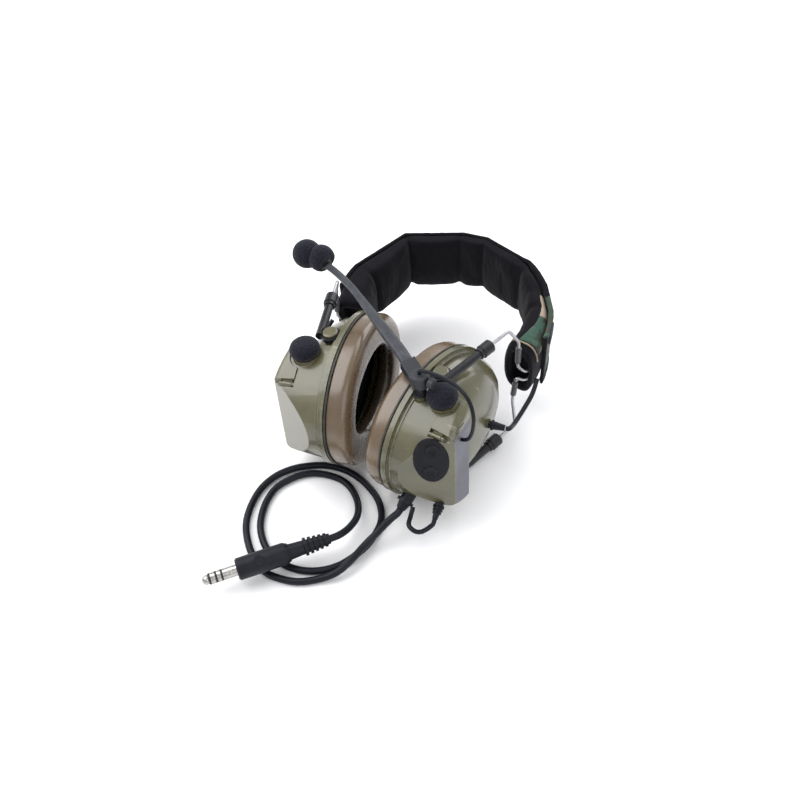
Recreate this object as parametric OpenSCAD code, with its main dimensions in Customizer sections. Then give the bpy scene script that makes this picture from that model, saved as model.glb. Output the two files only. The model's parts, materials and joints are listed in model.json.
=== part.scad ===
/* [Pose] */
// Distance of each cup pivot from the middle plane
pivot_x = 38.3; // [38:0.1:42]
// Lean of both cups about the headband axis, in degrees
lean = 7.5; // [0:0.5:10]
// Turn of the left cup about its pivot, in degrees
left_toe = -5; // [-5:1:4]
// Turn of the right cup about its pivot, in degrees
right_toe = 13.2; // [8:0.1:13.5]

/* [Ear cup] */
// Half length of the cup at the seam
seam_a = 57; // [54:0.5:62]
// Half width of the cup at the seam
seam_b = 45; // [43:0.5:48]
// Thickness of the seal plate
plate_t = 3; // [2:0.5:4]
// Depth of the dome from the seam
dome_d = 31; // [29:0.5:34]
// Depth of the electronics box from the seam
box_d = 39; // [37:0.5:42]
// Step of the dome wall inside the seam flange
flange_step = 4.5; // [3:0.5:6]
// Wall between the ear cavity and the outside
wall = 2.6; // [2:0.1:3]

/* [Ear cushion] */
// Thickness of the ear cushion
cushion_t = 13.4; // [12:0.2:18]
// Half length of the opening in the cushion
opening_a = 34; // [30:1:36]
// Half width of the opening in the cushion
opening_b = 22; // [19:1:24]

/* [Pivots and legs] */
// Radius of the pivot stud on the cup
stud_r = 3.6; // [3:0.1:4]
// Running clearance of the leg ring on its stud
stud_gap = 0.05; // [0.03:0.01:0.1]
// Height of the leg tubes from the middle of the cup
leg_z = 43.2; // [43:0.1:44.5]
// Radius of a leg tube
leg_r = 2.9; // [2.6:0.1:3.1]
// Distance of the leg tube beside the pivot
leg_offset = 6.5; // [6.2:0.1:7]
// Length of a leg from the pivot to its head
leg_length = 37; // [32:1:38]
// Radius of the collar at the head of a leg
collar_r = 4.4; // [4:0.1:4.6]
// Length of that collar
collar_l = 11; // [8:1:13]

/* [Headband] */
// Radius of the spring wire
wire_r = 1.1; // [0.9:0.1:1.2]
// Sliding clearance of the wire in its leg
wire_gap = 0.1; // [0.06:0.01:0.15]
// Outer radius of the headband arch
arch_r = 76.5; // [74:0.5:80]
// Tilt of the headband against the floor, in degrees
band_tilt = 8; // [0:1:12]
// Width of the headband cover
cover_w = 48; // [44:1:52]
// Thickness of the cover cloth
cover_t = 2.2; // [1.6:0.1:2.6]
// Thickness of the padded liner at the crown
liner_t = 8; // [7:0.5:11]
// Thickness of the padded liner at its ends
liner_end_t = 24; // [16:0.5:26]

/* [Microphones] */
// Radius of the ambient microphone foam
foam_r = 9.6; // [9:0.1:10]
// Radius of the boom microphone foam
boom_foam_r = 10.5; // [9:0.5:12]
// Width of the ribbed boom
boom_w = 7; // [5:0.5:8]
// Thickness of the ribbed boom
boom_t = 3.6; // [3:0.2:4.4]

/* [Battery] */
// Radius of the battery cell
cell_r = 5.2; // [5:0.05:5.25]
// Length of the battery cell
cell_l = 44.5; // [42:0.5:45]

/* [Buttons] */
// Radius of each push button
button_r = 4.6; // [3.5:0.1:5]
// Travel of each push button
button_travel = 0.8; // [0.5:0.1:1]

/* [Cord and plug] */
// Radius of the down-lead
cord_r = 2.3; // [2:0.05:2.4]
// Radius of the plug pin
pin_r = 3.57; // [3.1:0.01:3.6]
// Length of the plug pin
pin_l = 21.5; // [20:0.5:28]
// Radius of the plug body
plug_r = 6.9; // [6.6:0.1:8]
// Length of the plug body
plug_l = 33; // [30:1:40]
// Length of the ribbed boot behind the plug body
boot_l = 26; // [20:1:30]

/* [Hidden] */
$fn = 48;

olive = [0.33, 0.33, 0.2];
tan = [0.5, 0.4, 0.3];
black = [0.1, 0.1, 0.11];
steel = [0.75, 0.75, 0.76];
grey = [0.3, 0.3, 0.31];

// Natural reference: the middle of the headset's footprint on the surface that it lies on
origin = [-2.228, 42.275, 0];

// Sides: index 0 is the left cup, index 1 the right cup
side = [-1, 1];
toe = [left_toe, right_toe];
pivot_y = [2, -1.5];
pivot_z = [49.23, 46.23];
rail_yaw = [-14, 24];
gap = 0.3;

// Place of the pivot in the cup's own frame: x outward from the seam, y towards the crown, z to the front
pivot_out = 9;
pivot_up = 2;

// ---- frames ----
module side_frame(i)
  translate([side[i]*pivot_x, pivot_y[i], pivot_z[i]] - origin) rotate([0, -lean, 0]) children();

module outward(i) mirror([i == 0 ? 1 : 0, 0, 0]) children();

module cup_frame(i)
  side_frame(i) rotate([0, 0, -toe[i]]) outward(i) translate([-pivot_out, -pivot_up, 0]) children();

module leg_frame(i) side_frame(i) rotate([0, 0, -rail_yaw[i]]) outward(i) children();

function turned(i, yaw, p) =
  let (x = side[i]*p[0], u = x*cos(yaw) + p[1]*sin(yaw), v = p[1]*cos(yaw) - x*sin(yaw))
  [side[i]*pivot_x + cos(lean)*u - sin(lean)*p[2], pivot_y[i] + v,
   pivot_z[i] + sin(lean)*u + cos(lean)*p[2]] - origin;
function from_leg(i, p) = turned(i, rail_yaw[i], p);
function from_cup(i, p) = turned(i, toe[i], p - [pivot_out, pivot_up, 0]);

// A frame at point a with z pointing to point b
module between(a, b) {
  d = b - a;
  translate(a) rotate([0, acos(d[2]/norm(d)), atan2(d[1], d[0])]) children();
}

// ---- shared forms ----
function oval(a, b, n = 64) = [for (k = [0:n-1]) [a*cos(360*k/n), b*sin(360*k/n)]];
function signed_pow(v, e) = sign(v)*pow(abs(v), e);
function round_section(a, b, n, e) =
  [for (k = [0:n-1]) [a*signed_pow(cos(360*k/n), e), b*signed_pow(sin(360*k/n), e)]];
// Path with each corner replaced by a smooth bend that starts d before it
function bend(p, d) =
  [p[0], for (k = [1:len(p)-2]) let (a = p[k] + d*unit(p[k-1] - p[k]), b = p[k] + d*unit(p[k+1] - p[k]))
    for (t = [0:0.25:1]) pow(1 - t, 2)*a + 2*t*(1 - t)*p[k] + t*t*b, p[len(p)-1]];
function cut_corners(p) =
  [p[0], for (k = [0:len(p)-2]) each [0.75*p[k] + 0.25*p[k+1], 0.25*p[k] + 0.75*p[k+1]], p[len(p)-1]];

// Prism along x with its outline given as [y, z]
module along_x(x0, h) translate([x0, 0, 0]) rotate([90, 0, 90]) linear_extrude(h) children();

// Solid of rings of points, each ring with the same count, closed at both ends
module ring_solid(rings) {
  n = len(rings[0]);
  m = len(rings);
  points = [for (r = rings) each r];
  skin = [for (j = [0:m-2]) for (k = [0:n-1]) let (q = (k+1)%n)
    each [[j*n+k, (j+1)*n+k, (j+1)*n+q], [j*n+k, (j+1)*n+q, j*n+q]]];
  first = [for (k = [0:n-1]) k];
  last = [for (k = [n-1:-1:0]) (m-1)*n + k];
  polyhedron(points, concat(skin, [first], [last]), convexity = 6);
}

// Loop of rings that closes on itself
module ring_loop(rings) {
  n = len(rings[0]);
  m = len(rings);
  points = [for (r = rings) each r];
  skin = [for (j = [0:m-1]) for (k = [0:n-1]) let (q = (k+1)%n, i = (j+1)%m)
    each [[j*n+k, i*n+k, i*n+q], [j*n+k, i*n+q, j*n+q]]];
  polyhedron(points, skin, convexity = 6);
}

function unit(v) = v/norm(v);
function heading(p, k) = unit(p[min(k+1, len(p)-1)] - p[max(k-1, 0)]);
function frames(p, up, k = 0, list = []) =
  k == len(p) ? list :
  let (t = heading(p, k), u0 = k == 0 ? up : list[k-1][1], u = unit(u0 - (u0*t)*t))
  frames(p, up, k+1, concat(list, [[t, u, cross(t, u)]]));

// Tube or strip along points; section is a list of [across, up] offsets
module sweep(p, section, up = [0, 0, 1]) {
  f = frames(p, up);
  ring_solid([for (k = [0:len(p)-1]) [for (s = section) p[k] + s[0]*f[k][2] + s[1]*f[k][1]]]);
}
function tube_section(r, n) = [for (k = [n-1:-1:0]) r*[cos(360*k/n), sin(360*k/n)]];
module tube(p, r, n = 8, up = [0, 0, 1]) sweep(p, tube_section(r, n), up);

// Closed half shape over the seam plane; reach gives the distance from o in each direction
module star_solid(o, reach, rings = 11, sides = 60) {
  body = [for (j = [0:rings-1]) let (e = 90*j/rings) [for (k = [0:sides-1])
    let (a = 360*k/sides, d = [sin(e), cos(e)*cos(a), cos(e)*sin(a)]) o + reach(d)*d]];
  pole = o + reach([1, 0, 0])*[1, 0, 0];
  n = sides;
  points = concat([for (r = body) each r], [pole]);
  skin = [for (j = [0:rings-2]) for (k = [0:n-1]) let (q = (k+1)%n)
    each [[j*n+k, (j+1)*n+k, (j+1)*n+q], [j*n+k, (j+1)*n+q, j*n+q]]];
  top = [for (k = [0:n-1]) [(rings-1)*n+k, rings*n, (rings-1)*n+(k+1)%n]];
  polyhedron(points, concat(skin, top, [[for (k = [0:n-1]) k]]), convexity = 6);
}

// ---- ear cup ----
dome_a = seam_a - 3;
dome_b = seam_b - flange_step - 1;
dome_e = 2.6;
// Distance from the middle of the seam to the dome
dome_reach = function(d)
  let (rho = sqrt(pow(d[1]/dome_a, 2) + pow(d[2]/dome_b, 2)))
  pow(pow(rho, dome_e) + pow(d[0]/dome_d, dome_e), -1/dome_e);

// Box: a tapered oval with a rounded rim, cut by the slanted facet, the outer face and the step above it
box_a = seam_a - 1.5;
box_b = seam_b - 3;
box_taper = 0.0024;
box_rim = 5;
facet_slope = 35.4;
facet_lean = 7;
facet_dist = 50;
facet_n = [sin(facet_slope)*cos(facet_lean), -cos(facet_slope)*cos(facet_lean), sin(facet_lean)];
// The facet, the face and the step run along one leaning direction
run_lean = atan2(facet_n[2], -facet_n[1]);
facet_line = [facet_n[0], -norm([facet_n[1], facet_n[2]])];
step_y = -12.5;
face_lean = 8;
face_line = [cos(face_lean), sin(face_lean)];
face_dist = face_line*[box_d, -34];

function meet(n1, d1, n2, d2) = let (det = n1[0]*n2[1] - n1[1]*n2[0])
  [(d1*n2[1] - d2*n1[1])/det, (n1[0]*d2 - n2[0]*d1)/det];
// Corner of an outline rounded to radius r in n steps
function corner(p0, p, p1, r, n = 4) =
  let (u = unit(p0 - p), v = unit(p1 - p), half = acos(u*v)/2, m = unit(u + v),
       c = p + r/sin(half)*m, s = c - r*m, turn = sign(u[0]*v[1] - u[1]*v[0])*(90 - half))
  [for (k = [-n:2:n]) let (w = turn*k/n, d = s - c)
    c + [d[0]*cos(w) + d[1]*sin(w), d[1]*cos(w) - d[0]*sin(w)]];

module box_profile() {
  low = meet(facet_line, facet_dist, [1, 0], -1);
  edge = meet(facet_line, facet_dist, face_line, face_dist);
  top = meet(face_line, face_dist, [0, 1], step_y);
  back = [-1, step_y];
  polygon(concat([low], corner(low, edge, top, 2.4), corner(edge, top, back, 3.5), [back]));
}

function box_ring(x, inset, n = 64) = let (k = 1 - box_taper*x)
  [for (p = oval(box_a*k - inset, box_b*k - inset, n))
    [x - tan(face_lean)*(p[0] + 34)*max(0, x)/box_d, p[0], p[1]]];

cavity_d1 = 12;
cavity_d2 = 20;
cavity1 = [dome_a*0.966 - wall, dome_b*0.966 - wall];
cavity2 = [dome_a*0.862 - wall, dome_b*0.862 - wall];

// Ambient microphone
mic_at = [20.5, -14];
mic_z = 38.6;
mic_seat_r = 8.8;
mic_bore_r = 3.1;
foam_h = 10.4;

// Battery and its lid
cell_at = [31, -25.5];
cell_z0 = -17;
bore_r = cell_r + gap;
lid_z = 29;
lid_axis = [-33, 29];
lid_pin_r = 0.8;
lid_knuckle_r = 1.8;
lid_x0 = 24.5;
lid_x1 = 31;
lid_x = 22.6;
lid_y0 = lid_axis[0] + lid_knuckle_r - 0.2;
lid_y1 = -9.5;
lug_t = 1.6;

// Pivots
stud_top = leg_z + 0.3;
ring_t = 2.8;
ring_r = stud_r + 2.8;
pad_r = 5.5;
pad_z = stud_top - ring_t - gap;
cap_r = 5;
cap_t = 2;
cap_peg = 1.5;
seat_z0 = 30;

// Boom foot
boom_at = [8, -17];
boom_foot = [6.8, -17.8];
boom_foot_r = 4.2;
boom_foot_z = 41.6;
boom_post_r = 3;

// Buttons
pad_along = -1.5;
pad_up = 8.4;
pad_a = 10.7;
pad_b = 17;
pad_sink = 1;
pad_rise = 0.8;
button_at = [[1.5, 8.4], [-1.5, -8.4]];
button_deep = 5;

module box_body() intersection() {
  rotate([-run_lean, 0, 0]) translate([0, 0, -60]) linear_extrude(120) box_profile();
  ring_solid(concat([box_ring(0, 0)], [for (e = [0:22.5:90])
    box_ring(box_d - box_rim + (box_rim + 0.2)*sin(e), box_rim*(1 - cos(e)))]));
}
module dome_body() star_solid([0, 0, 0], dome_reach);

module flange() {
  along_x(0, 2.4) polygon(oval(seam_a, seam_b));
  along_x(0, 4.6) polygon(oval(seam_a - 1.6, seam_b - 2.4));
}

// Mirrors children to the front and the back
module both_faces() for (f = [0, 1]) mirror([0, 0, f]) children();

// Pivot studs with the pads they stand on
module pivot_studs() both_faces() translate([pivot_out, pivot_up, seat_z0]) {
  cylinder(r = pad_r, h = pad_z - seat_z0);
  cylinder(r = stud_r, h = stud_top - seat_z0);
}

// Outline of the lid on the front wall, clear of the microphone foam
module lid_outline(grow, y0) difference() {
  translate([lid_x - grow, y0 - grow]) square([20, lid_y1 - y0 + 2*grow]);
  translate(mic_at) circle(r = foam_r + 0.7 - grow);
  translate(mic_at) square([foam_r + 0.7 - grow, 20]);
}
module lid_space(grow, y0 = lid_y0) translate([0, 0, lid_z - grow]) linear_extrude(20)
  lid_outline(grow, y0);
module lid_hinge(r, x0, x1) translate([x0, lid_axis[0], lid_axis[1]]) rotate([0, 90, 0])
  cylinder(r = r, h = x1 - x0);

// Lugs that hold the ends of the hinge pin
module lid_lugs() for (x = [lid_x - 0.5, lid_x1 + gap]) {
  w = x < lid_x ? lid_x0 - gap - x : lug_t;
  lid_hinge(lid_knuckle_r - 0.3, x, x + w);
  translate([x, lid_axis[0] - 1.4, lid_axis[1] - 3]) cube([w, 2.8, 3]);
}

// Frame on the slanted facet: x runs to the back, y up the slope, z out of the facet
module facet_frame(along, up) translate(facet_dist*facet_n)
  rotate([0, 0, facet_slope - 90]) rotate([0, -facet_lean, 0]) rotate([0, 90, 0])
  translate([-up, along, 0]) children();

module button_frame(k)
  facet_frame(pad_along + button_at[k][0], pad_up + button_at[k][1]) children();

module shell(i) color(olive) cup_frame(i) difference() {
  union() {
    shell_body(i);
    lid_lugs();
  }
  lid_hinge(lid_pin_r, lid_x0 - 2, lid_x1 + 2);
}

module shell_body(i) difference() {
  union() {
    difference() {
      flange();
      both_faces() translate([pivot_out, pivot_up, pad_z]) cylinder(r = ring_r + gap, h = 10);
    }
    dome_body();
    box_body();
    pivot_studs();
    translate([mic_at[0], mic_at[1], seat_z0]) cylinder(r = mic_seat_r, h = mic_z - seat_z0);
    if (i == 1) translate([boom_foot[0], boom_foot[1], seat_z0])
      cylinder(r = boom_foot_r, h = boom_foot_z - seat_z0);
  }
  along_x(-1, cavity_d1 + 1) polygon(oval(cavity1[0], cavity1[1]));
  along_x(cavity_d1 - 1, cavity_d2 - cavity_d1 + 1) polygon(oval(cavity2[0], cavity2[1]));
  translate([cell_at[0], cell_at[1], cell_z0 - 4.5]) cylinder(r = bore_r, h = lid_z - cell_z0 + 5);
  lid_space(0, lid_axis[0] - 6);
  lid_hinge(lid_knuckle_r + gap, lid_x, box_d + 5);
  translate([mic_at[0], mic_at[1], mic_z - 6]) cylinder(r = mic_bore_r, h = 10);
  translate([mic_at[0], mic_at[1], mic_z]) cylinder(r = foam_r + gap, h = 10);
  both_faces() translate([pivot_out, pivot_up, stud_top - 6]) cylinder(r = cap_peg, h = 10);
  link_bore(i);
  if (i == 1) {
    button_seat();
    relief_bore(gland_at, gland_dir, gland_in, gland_r);
    relief_bore(jumper_at, jumper_dir, jumper_in, jumper_r);
  }
}

module button_seat() {
  facet_frame(pad_along, pad_up) translate([0, 0, -pad_sink])
    linear_extrude(10) polygon(oval(pad_b + gap/2, pad_a + gap/2));
  for (k = [0, 1]) button_frame(k) translate([0, 0, -button_deep])
    cylinder(r = button_r + gap/2, h = button_deep);
}

module button_pad() color(black) cup_frame(1) difference() {
  facet_frame(pad_along, pad_up) translate([0, 0, -pad_sink]) {
    linear_extrude(pad_sink + pad_rise - 0.5) polygon(oval(pad_b, pad_a));
    linear_extrude(pad_sink + pad_rise) polygon(oval(pad_b - 0.6, pad_a - 0.6));
  }
  for (k = [0, 1]) button_frame(k) translate([0, 0, -3]) cylinder(r = button_r + gap/2, h = 8);
}

button_rise = 0.6;
button_h = button_deep + pad_rise + button_rise - button_travel - gap;
module button(k) color(black) cup_frame(1) button_frame(k) difference() {
  translate([0, 0, pad_rise + button_rise - button_h]) {
    cylinder(r = button_r, h = button_h - 0.5);
    translate([0, 0, button_h - 0.5]) cylinder(r1 = button_r, r2 = button_r - 0.5, h = 0.5);
  }
  translate([0, 0, pad_rise + button_rise + 7.2]) sphere(r = 8);
}

module plate(i) color(black) cup_frame(i) difference() {
  union() {
    along_x(-plate_t, 1.1) polygon(oval(seam_a, seam_b));
    along_x(-plate_t, plate_t) polygon(oval(seam_a - 1, seam_b - 1));
    along_x(-1.1, 1.1) polygon(oval(seam_a, seam_b));
  }
  along_x(-plate_t - 1, plate_t + 2) polygon(oval(cavity1[0] - 2, cavity1[1] - 2));
}

cushion_out = 1.2;
cushion_w = (seam_a - cushion_out - opening_a)/2;
cushion_w_side = (seam_b - cushion_out - opening_b)/2;
cushion_round = 0.72;
module cushion(i) color(tan) cup_frame(i)
  ring_loop([for (j = [0:55]) let (a = 360*j/56) [for (k = [0:19]) let (e = 360*k/20,
      u = signed_pow(cos(e), cushion_round), v = signed_pow(sin(e), cushion_round),
      crease = 0.35*pow(max(0, sin(e)), 3)*cos(14*a))
    [-plate_t - cushion_t/2 - (cushion_t/2 + crease)*v - 0.02,
     (opening_a + cushion_w*(1 + u))*cos(a), (opening_b + cushion_w_side*(1 + u))*sin(a)]]]);

liner_x0 = 2;
foam_front = 6;
board_t = 1.6;
board_gap = 1.4;
speaker_r = 19;
speaker_t = 6.5;
speaker_y = 6;
board_x = cavity_d2 - gap - board_gap - board_t;
liner_x1 = board_x - gap;
module foam_liner(i) color(black) cup_frame(i) difference() {
  union() {
    along_x(liner_x0, cavity_d1 - liner_x0 - gap) polygon(oval(cavity1[0] - gap, cavity1[1] - gap));
    along_x(liner_x0, liner_x1 - liner_x0) polygon(oval(cavity2[0] - gap, cavity2[1] - gap));
    along_x(-foam_front, foam_front + liner_x0 + 1) polygon(oval(opening_a - gap, opening_b - gap));
  }
  translate([liner_x1 - speaker_t - gap, speaker_y, 0]) rotate([0, 90, 0])
    cylinder(r = speaker_r + gap, h = 30);
  translate([-foam_front - 1, speaker_y, 0]) rotate([0, 90, 0]) cylinder(r = speaker_r - 5, h = 40);
}

module speaker(i) color(grey) cup_frame(i) translate([liner_x1 - speaker_t, speaker_y, 0])
  rotate([0, 90, 0]) difference() {
    union() {
      cylinder(r = speaker_r, h = 2.2);
      cylinder(r = speaker_r - 5, h = speaker_t);
    }
    translate([0, 0, -1]) cylinder(r1 = speaker_r - 6, r2 = 5, h = 3);
  }

module circuit_board(i) color("darkgreen") cup_frame(i) {
  along_x(board_x, board_t) polygon(oval(cavity2[0] - 9, cavity2[1] - 8, 32));
  for (c = [[-18, -6, 9, 9], [-6, 6, 12, 7], [10, -8, 7, 10], [14, 6, 6, 6]])
    translate([board_x, c[0], c[1]]) cube([board_t + 1, c[2], c[3]]);
}

module battery(i) color("silver") cup_frame(i) translate([cell_at[0], cell_at[1], cell_z0]) {
  cylinder(r = cell_r, h = cell_l - 1);
  cylinder(r = 1.9, h = cell_l);
}

module battery_contact(i) color("gold") cup_frame(i)
  translate([cell_at[0], cell_at[1], cell_z0 - 4.5]) {
    cylinder(r = 4.6, h = 0.8);
    translate([0, 0, 0.8]) cylinder(r1 = 4, r2 = 1.8, h = 3.6);
  }

module mic_capsule(i) color(grey) cup_frame(i) translate([mic_at[0], mic_at[1], mic_z - 6])
  cylinder(r = mic_bore_r - 0.1, h = 9);

module mic_foam(i) color(black) cup_frame(i) translate([mic_at[0], mic_at[1], mic_z + gap])
  rotate_extrude() difference() {
    intersection() {
      translate([0, foam_h - foam_r*0.95]) circle(r = foam_r*1.045);
      union() {
        square([foam_r, foam_h*0.6]);
        translate([0, foam_h - 7]) intersection() {
          circle(r = foam_r);
          square([foam_r, 7]);
        }
      }
    }
    translate([-20, -20]) square([20, 60]);
    square([mic_bore_r, 3]);
  }

module pivot_caps(i) color(olive) cup_frame(i) both_faces()
  translate([pivot_out, pivot_up, stud_top]) {
    cylinder(r = cap_r, h = cap_t - 0.6);
    translate([0, 0, cap_t - 0.6]) cylinder(r1 = cap_r, r2 = cap_r - 0.8, h = 0.6);
    translate([0, 0, -5.4]) cylinder(r = cap_peg - 0.05, h = 6);
  }

lid_up = [0.5, 0, 0.8];
module battery_lid(i) color(olive) cup_frame(i) difference() {
  union() {
    intersection() {
      translate(lid_up) box_body();
      lid_space(-gap);
    }
    lid_hinge(lid_knuckle_r, lid_x0, lid_x1);
    translate([lid_x0, lid_axis[0], lid_axis[1] + gap]) cube([lid_x1 - lid_x0, lid_knuckle_r + 0.4, 1]);
  }
  lid_hinge(lid_pin_r + 0.05, lid_x0 - 3, lid_x1 + 3);
  translate([37, -27, lid_z + 2.4]) cube([6, 9, 2]);
}

module lid_pin(i) color(steel) cup_frame(i)
  lid_hinge(lid_pin_r - 0.02, lid_x0 - 1.9, lid_x1 + 1.9);

// Strain relief where the link cable enters the outside of the dome
link_at = [29.4, 18, -7];
link_dir = unit([0.86, 0.26, -0.1]);
link_r = 1.6;
link_in = 6;
link_out = 11;
module link_bore(i) between(link_at - link_in*link_dir, link_at)
  cylinder(r = 2.6, h = 20);
module link_relief(i) color(black) cup_frame(i)
  between(link_at - link_in*link_dir, link_at) translate([0, 0, 0.5]) {
    cylinder(r = 2.5, h = link_in + 2.5);
    translate([0, 0, link_in + 1.4]) cylinder(r = 3.4, h = 1.6);
    translate([0, 0, link_in + 2.9]) cylinder(r1 = 2.8, r2 = 2, h = link_out - 3.4);
  }

// ---- boom ----
boom_pin_r = 2;
foot_h = 7.8;
hub_z = boom_foot_z + foot_h + 0.3;
hub_r = 5.5;
hub_h = 8.6;
pin_h = 5;
module boom_bracket() color(black) cup_frame(1)
  translate([0, 0, boom_foot_z]) {
    translate(boom_foot) cylinder(r = boom_foot_r, h = 1.6);
    translate(boom_at) cylinder(r = boom_post_r, h = foot_h);
    translate(boom_at) cylinder(r = boom_pin_r, h = foot_h + pin_h);
  }

// Route of the boom in the frame of the right cup, from the hub to the microphone
boom_route = [[1.5, -14.4, 54.6], [-12.9, -7, 59.2], [-29.3, 0.4, 63], [-44.3, 7, 66.7],
  [-55.8, 12, 70.1], [-67, 16.3, 73.4], [-79.5, 19.8, 76.8], [-89.5, 21.2, 80]];
boom_dir = unit(boom_route[1] - boom_route[0]);
clamp_l = 8;
slot_l = 5;
module boom_hub() color(grey) cup_frame(1) difference() {
  union() {
    translate([boom_at[0], boom_at[1], hub_z]) {
      cylinder(r = hub_r, h = hub_h - 0.8);
      translate([0, 0, hub_h - 0.8]) cylinder(r1 = hub_r, r2 = hub_r - 0.8, h = 0.8);
    }
    clamp_frame() translate([-boom_w/2 - 1.4, -boom_t/2 - 1.6, -6])
      cube([boom_w + 2.8, boom_t + 3.2, clamp_l + 6]);
  }
  clamp_frame() translate([-boom_w/2 - 0.9, -boom_t/2 - 0.35, clamp_l - slot_l])
    cube([boom_w + 1.8, boom_t + 0.7, slot_l + 1]);
  translate([boom_at[0], boom_at[1], hub_z - 1]) cylinder(r = boom_pin_r + 0.05, h = pin_h + 1.6);
}

// Frame at the root of the boom: z along the boom, x across its width
module clamp_frame() translate(boom_route[0])
  rotate([0, 0, atan2(boom_dir[1], boom_dir[0])]) rotate([0, acos(boom_dir[2]), 0])
  rotate([0, 0, 90]) children();

module boom_knob() color(grey) cup_frame(1)
  translate([boom_at[0] + hub_r + gap, boom_at[1], hub_z + hub_h/2]) rotate([0, 90, 0]) {
    cylinder(r = 1.6, h = 1.4);
    translate([0, 0, 1]) cylinder(r = 3.3, h = 3.2);
  }

// Width of the boom along its run: full over the lower part, narrower towards the microphone
boom_thin = 0.7;
function boom_width(t) = 1.1 - (1.1 - boom_thin)*max(0, min(1, (t - 0.3)/0.35));
module boom_arm() color(black) cup_frame(1) {
  p = concat([boom_route[0] + (clamp_l - slot_l + gap)*boom_dir], cut_corners(cut_corners(
    [for (k = [0:len(boom_route)-1]) k == 0 ? boom_route[0] + clamp_l*boom_dir : boom_route[k]])));
  m = len(p) - 1;
  f = frames(p, [0.2, 0, 1]);
  ring_solid([for (k = [0:m]) let (w = boom_w/2*boom_width(k/m), t = boom_t/2*(1 - 0.1*k/m))
    [for (s = round_section(t, w, 12, 0.6)) p[k] + s[0]*f[k][1] + s[1]*f[k][2]]]);
}

tip = boom_route[len(boom_route)-1];
tip_dir = unit(tip - boom_route[len(boom_route)-2]);
module tip_frame() between(tip, tip + tip_dir) children();
mic_l = 18;
module boom_mic() color(black) cup_frame(1) tip_frame() translate([0, 0, gap]) {
  cylinder(r = 4.2, h = 3);
  translate([0, 0, 2.9]) cylinder(r = 5, h = mic_l - 3);
}
module boom_foam() color(black) cup_frame(1) tip_frame() rotate_extrude() difference() {
  union() {
    translate([0, mic_l - boom_foam_r*0.3]) circle(r = boom_foam_r);
    translate([0, 7.5]) circle(r = boom_foam_r*0.86);
    translate([0, 4]) square([boom_foam_r*0.7, 5]);
  }
  translate([-40, -40]) square([40, 100]);
  square([5 + 0.1, mic_l + gap + 0.1]);
  translate([0, -20]) square([40, 21]);
}

// Cable from the boom hub over the foam and down the outer face
boom_cable_r = 1.2;
boom_cable_z = hub_z + hub_h + gap;
boom_cable_route = [[boom_at[0], boom_at[1], boom_cable_z], [boom_at[0], boom_at[1], boom_cable_z + 1.6],
  [10, -16.8, boom_cable_z + 3], [15, -15.5, boom_cable_z + 2.5], [24, -14, 59.5],
  [33.2, -14.4, 57.6], [42.8, -17.5, 54], [47.4, -20.5, 46], [47, -22, 35],
  [44, -22.5, 26], [40, -22.5, 22.5], [37.9, -22.5, 22]];
module boom_cable() color(black) cup_frame(1)
  tube(cut_corners(boom_cable_route), boom_cable_r, 8, [0, 1, 0]);

// ---- legs ----
leg_tail = 2.5;
module leg_tube(i, f) color(black) leg_frame(i) mirror([0, 0, f]) difference() {
  union() {
    translate([leg_offset, -leg_tail, leg_z]) rotate([-90, 0, 0])
      cylinder(r = leg_r, h = leg_length + leg_tail);
    translate([0, 0, stud_top - 0.2 - ring_t]) cylinder(r = ring_r, h = ring_t);
  }
  translate([0, 0, leg_z - 9]) cylinder(r = stud_r + stud_gap, h = 20);
  translate([leg_offset, rail_tail, leg_z]) rotate([-90, 0, 0])
    cylinder(r = wire_r + wire_gap, h = leg_length + 20);
  translate([0, 0, stud_top - 0.2]) cylinder(r = cap_r + 0.4, h = 6);
  translate([0, 0, leg_z - 9]) cylinder(r = pad_r + gap, h = 9 - 2.5 - gap);
}

module leg_collars(i) color(black) leg_frame(i) both_faces()
  translate([leg_offset, leg_length - collar_l + 1, leg_z]) rotate([-90, 0, 0]) difference() {
    union() {
      cylinder(r = collar_r - 0.7, h = 3);
      translate([0, 0, 2.5]) cylinder(r = collar_r, h = collar_l - 3.3);
      translate([0, 0, collar_l - 0.8]) cylinder(r1 = collar_r, r2 = collar_r - 0.8, h = 0.8);
    }
    translate([0, 0, -1]) cylinder(r = leg_r, h = collar_l);
    cylinder(r = wire_r + wire_gap, h = 40);
  }

// ---- headband ----
arch_x = 4.5 - origin[0];
arch_y = 79 - origin[1];
band_z = 44.6;
cross_z = 49;
wire_arch_r = arch_r - cover_t - 2;
wire_spread = 4;
wire_bend = 3.4;
rail_tail = 1;
rail_start = 17;
rail_end = 55;
function band_pt(x, y, z) = [arch_x + x, arch_y + y*cos(band_tilt) - z*sin(band_tilt),
  band_z + y*sin(band_tilt) + z*cos(band_tilt)];
function arch_pt(r, a, z) = band_pt(r*cos(a), r*sin(a), z);
module band_frame() translate([arch_x, arch_y, band_z]) rotate([band_tilt, 0, 0]) children();

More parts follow.
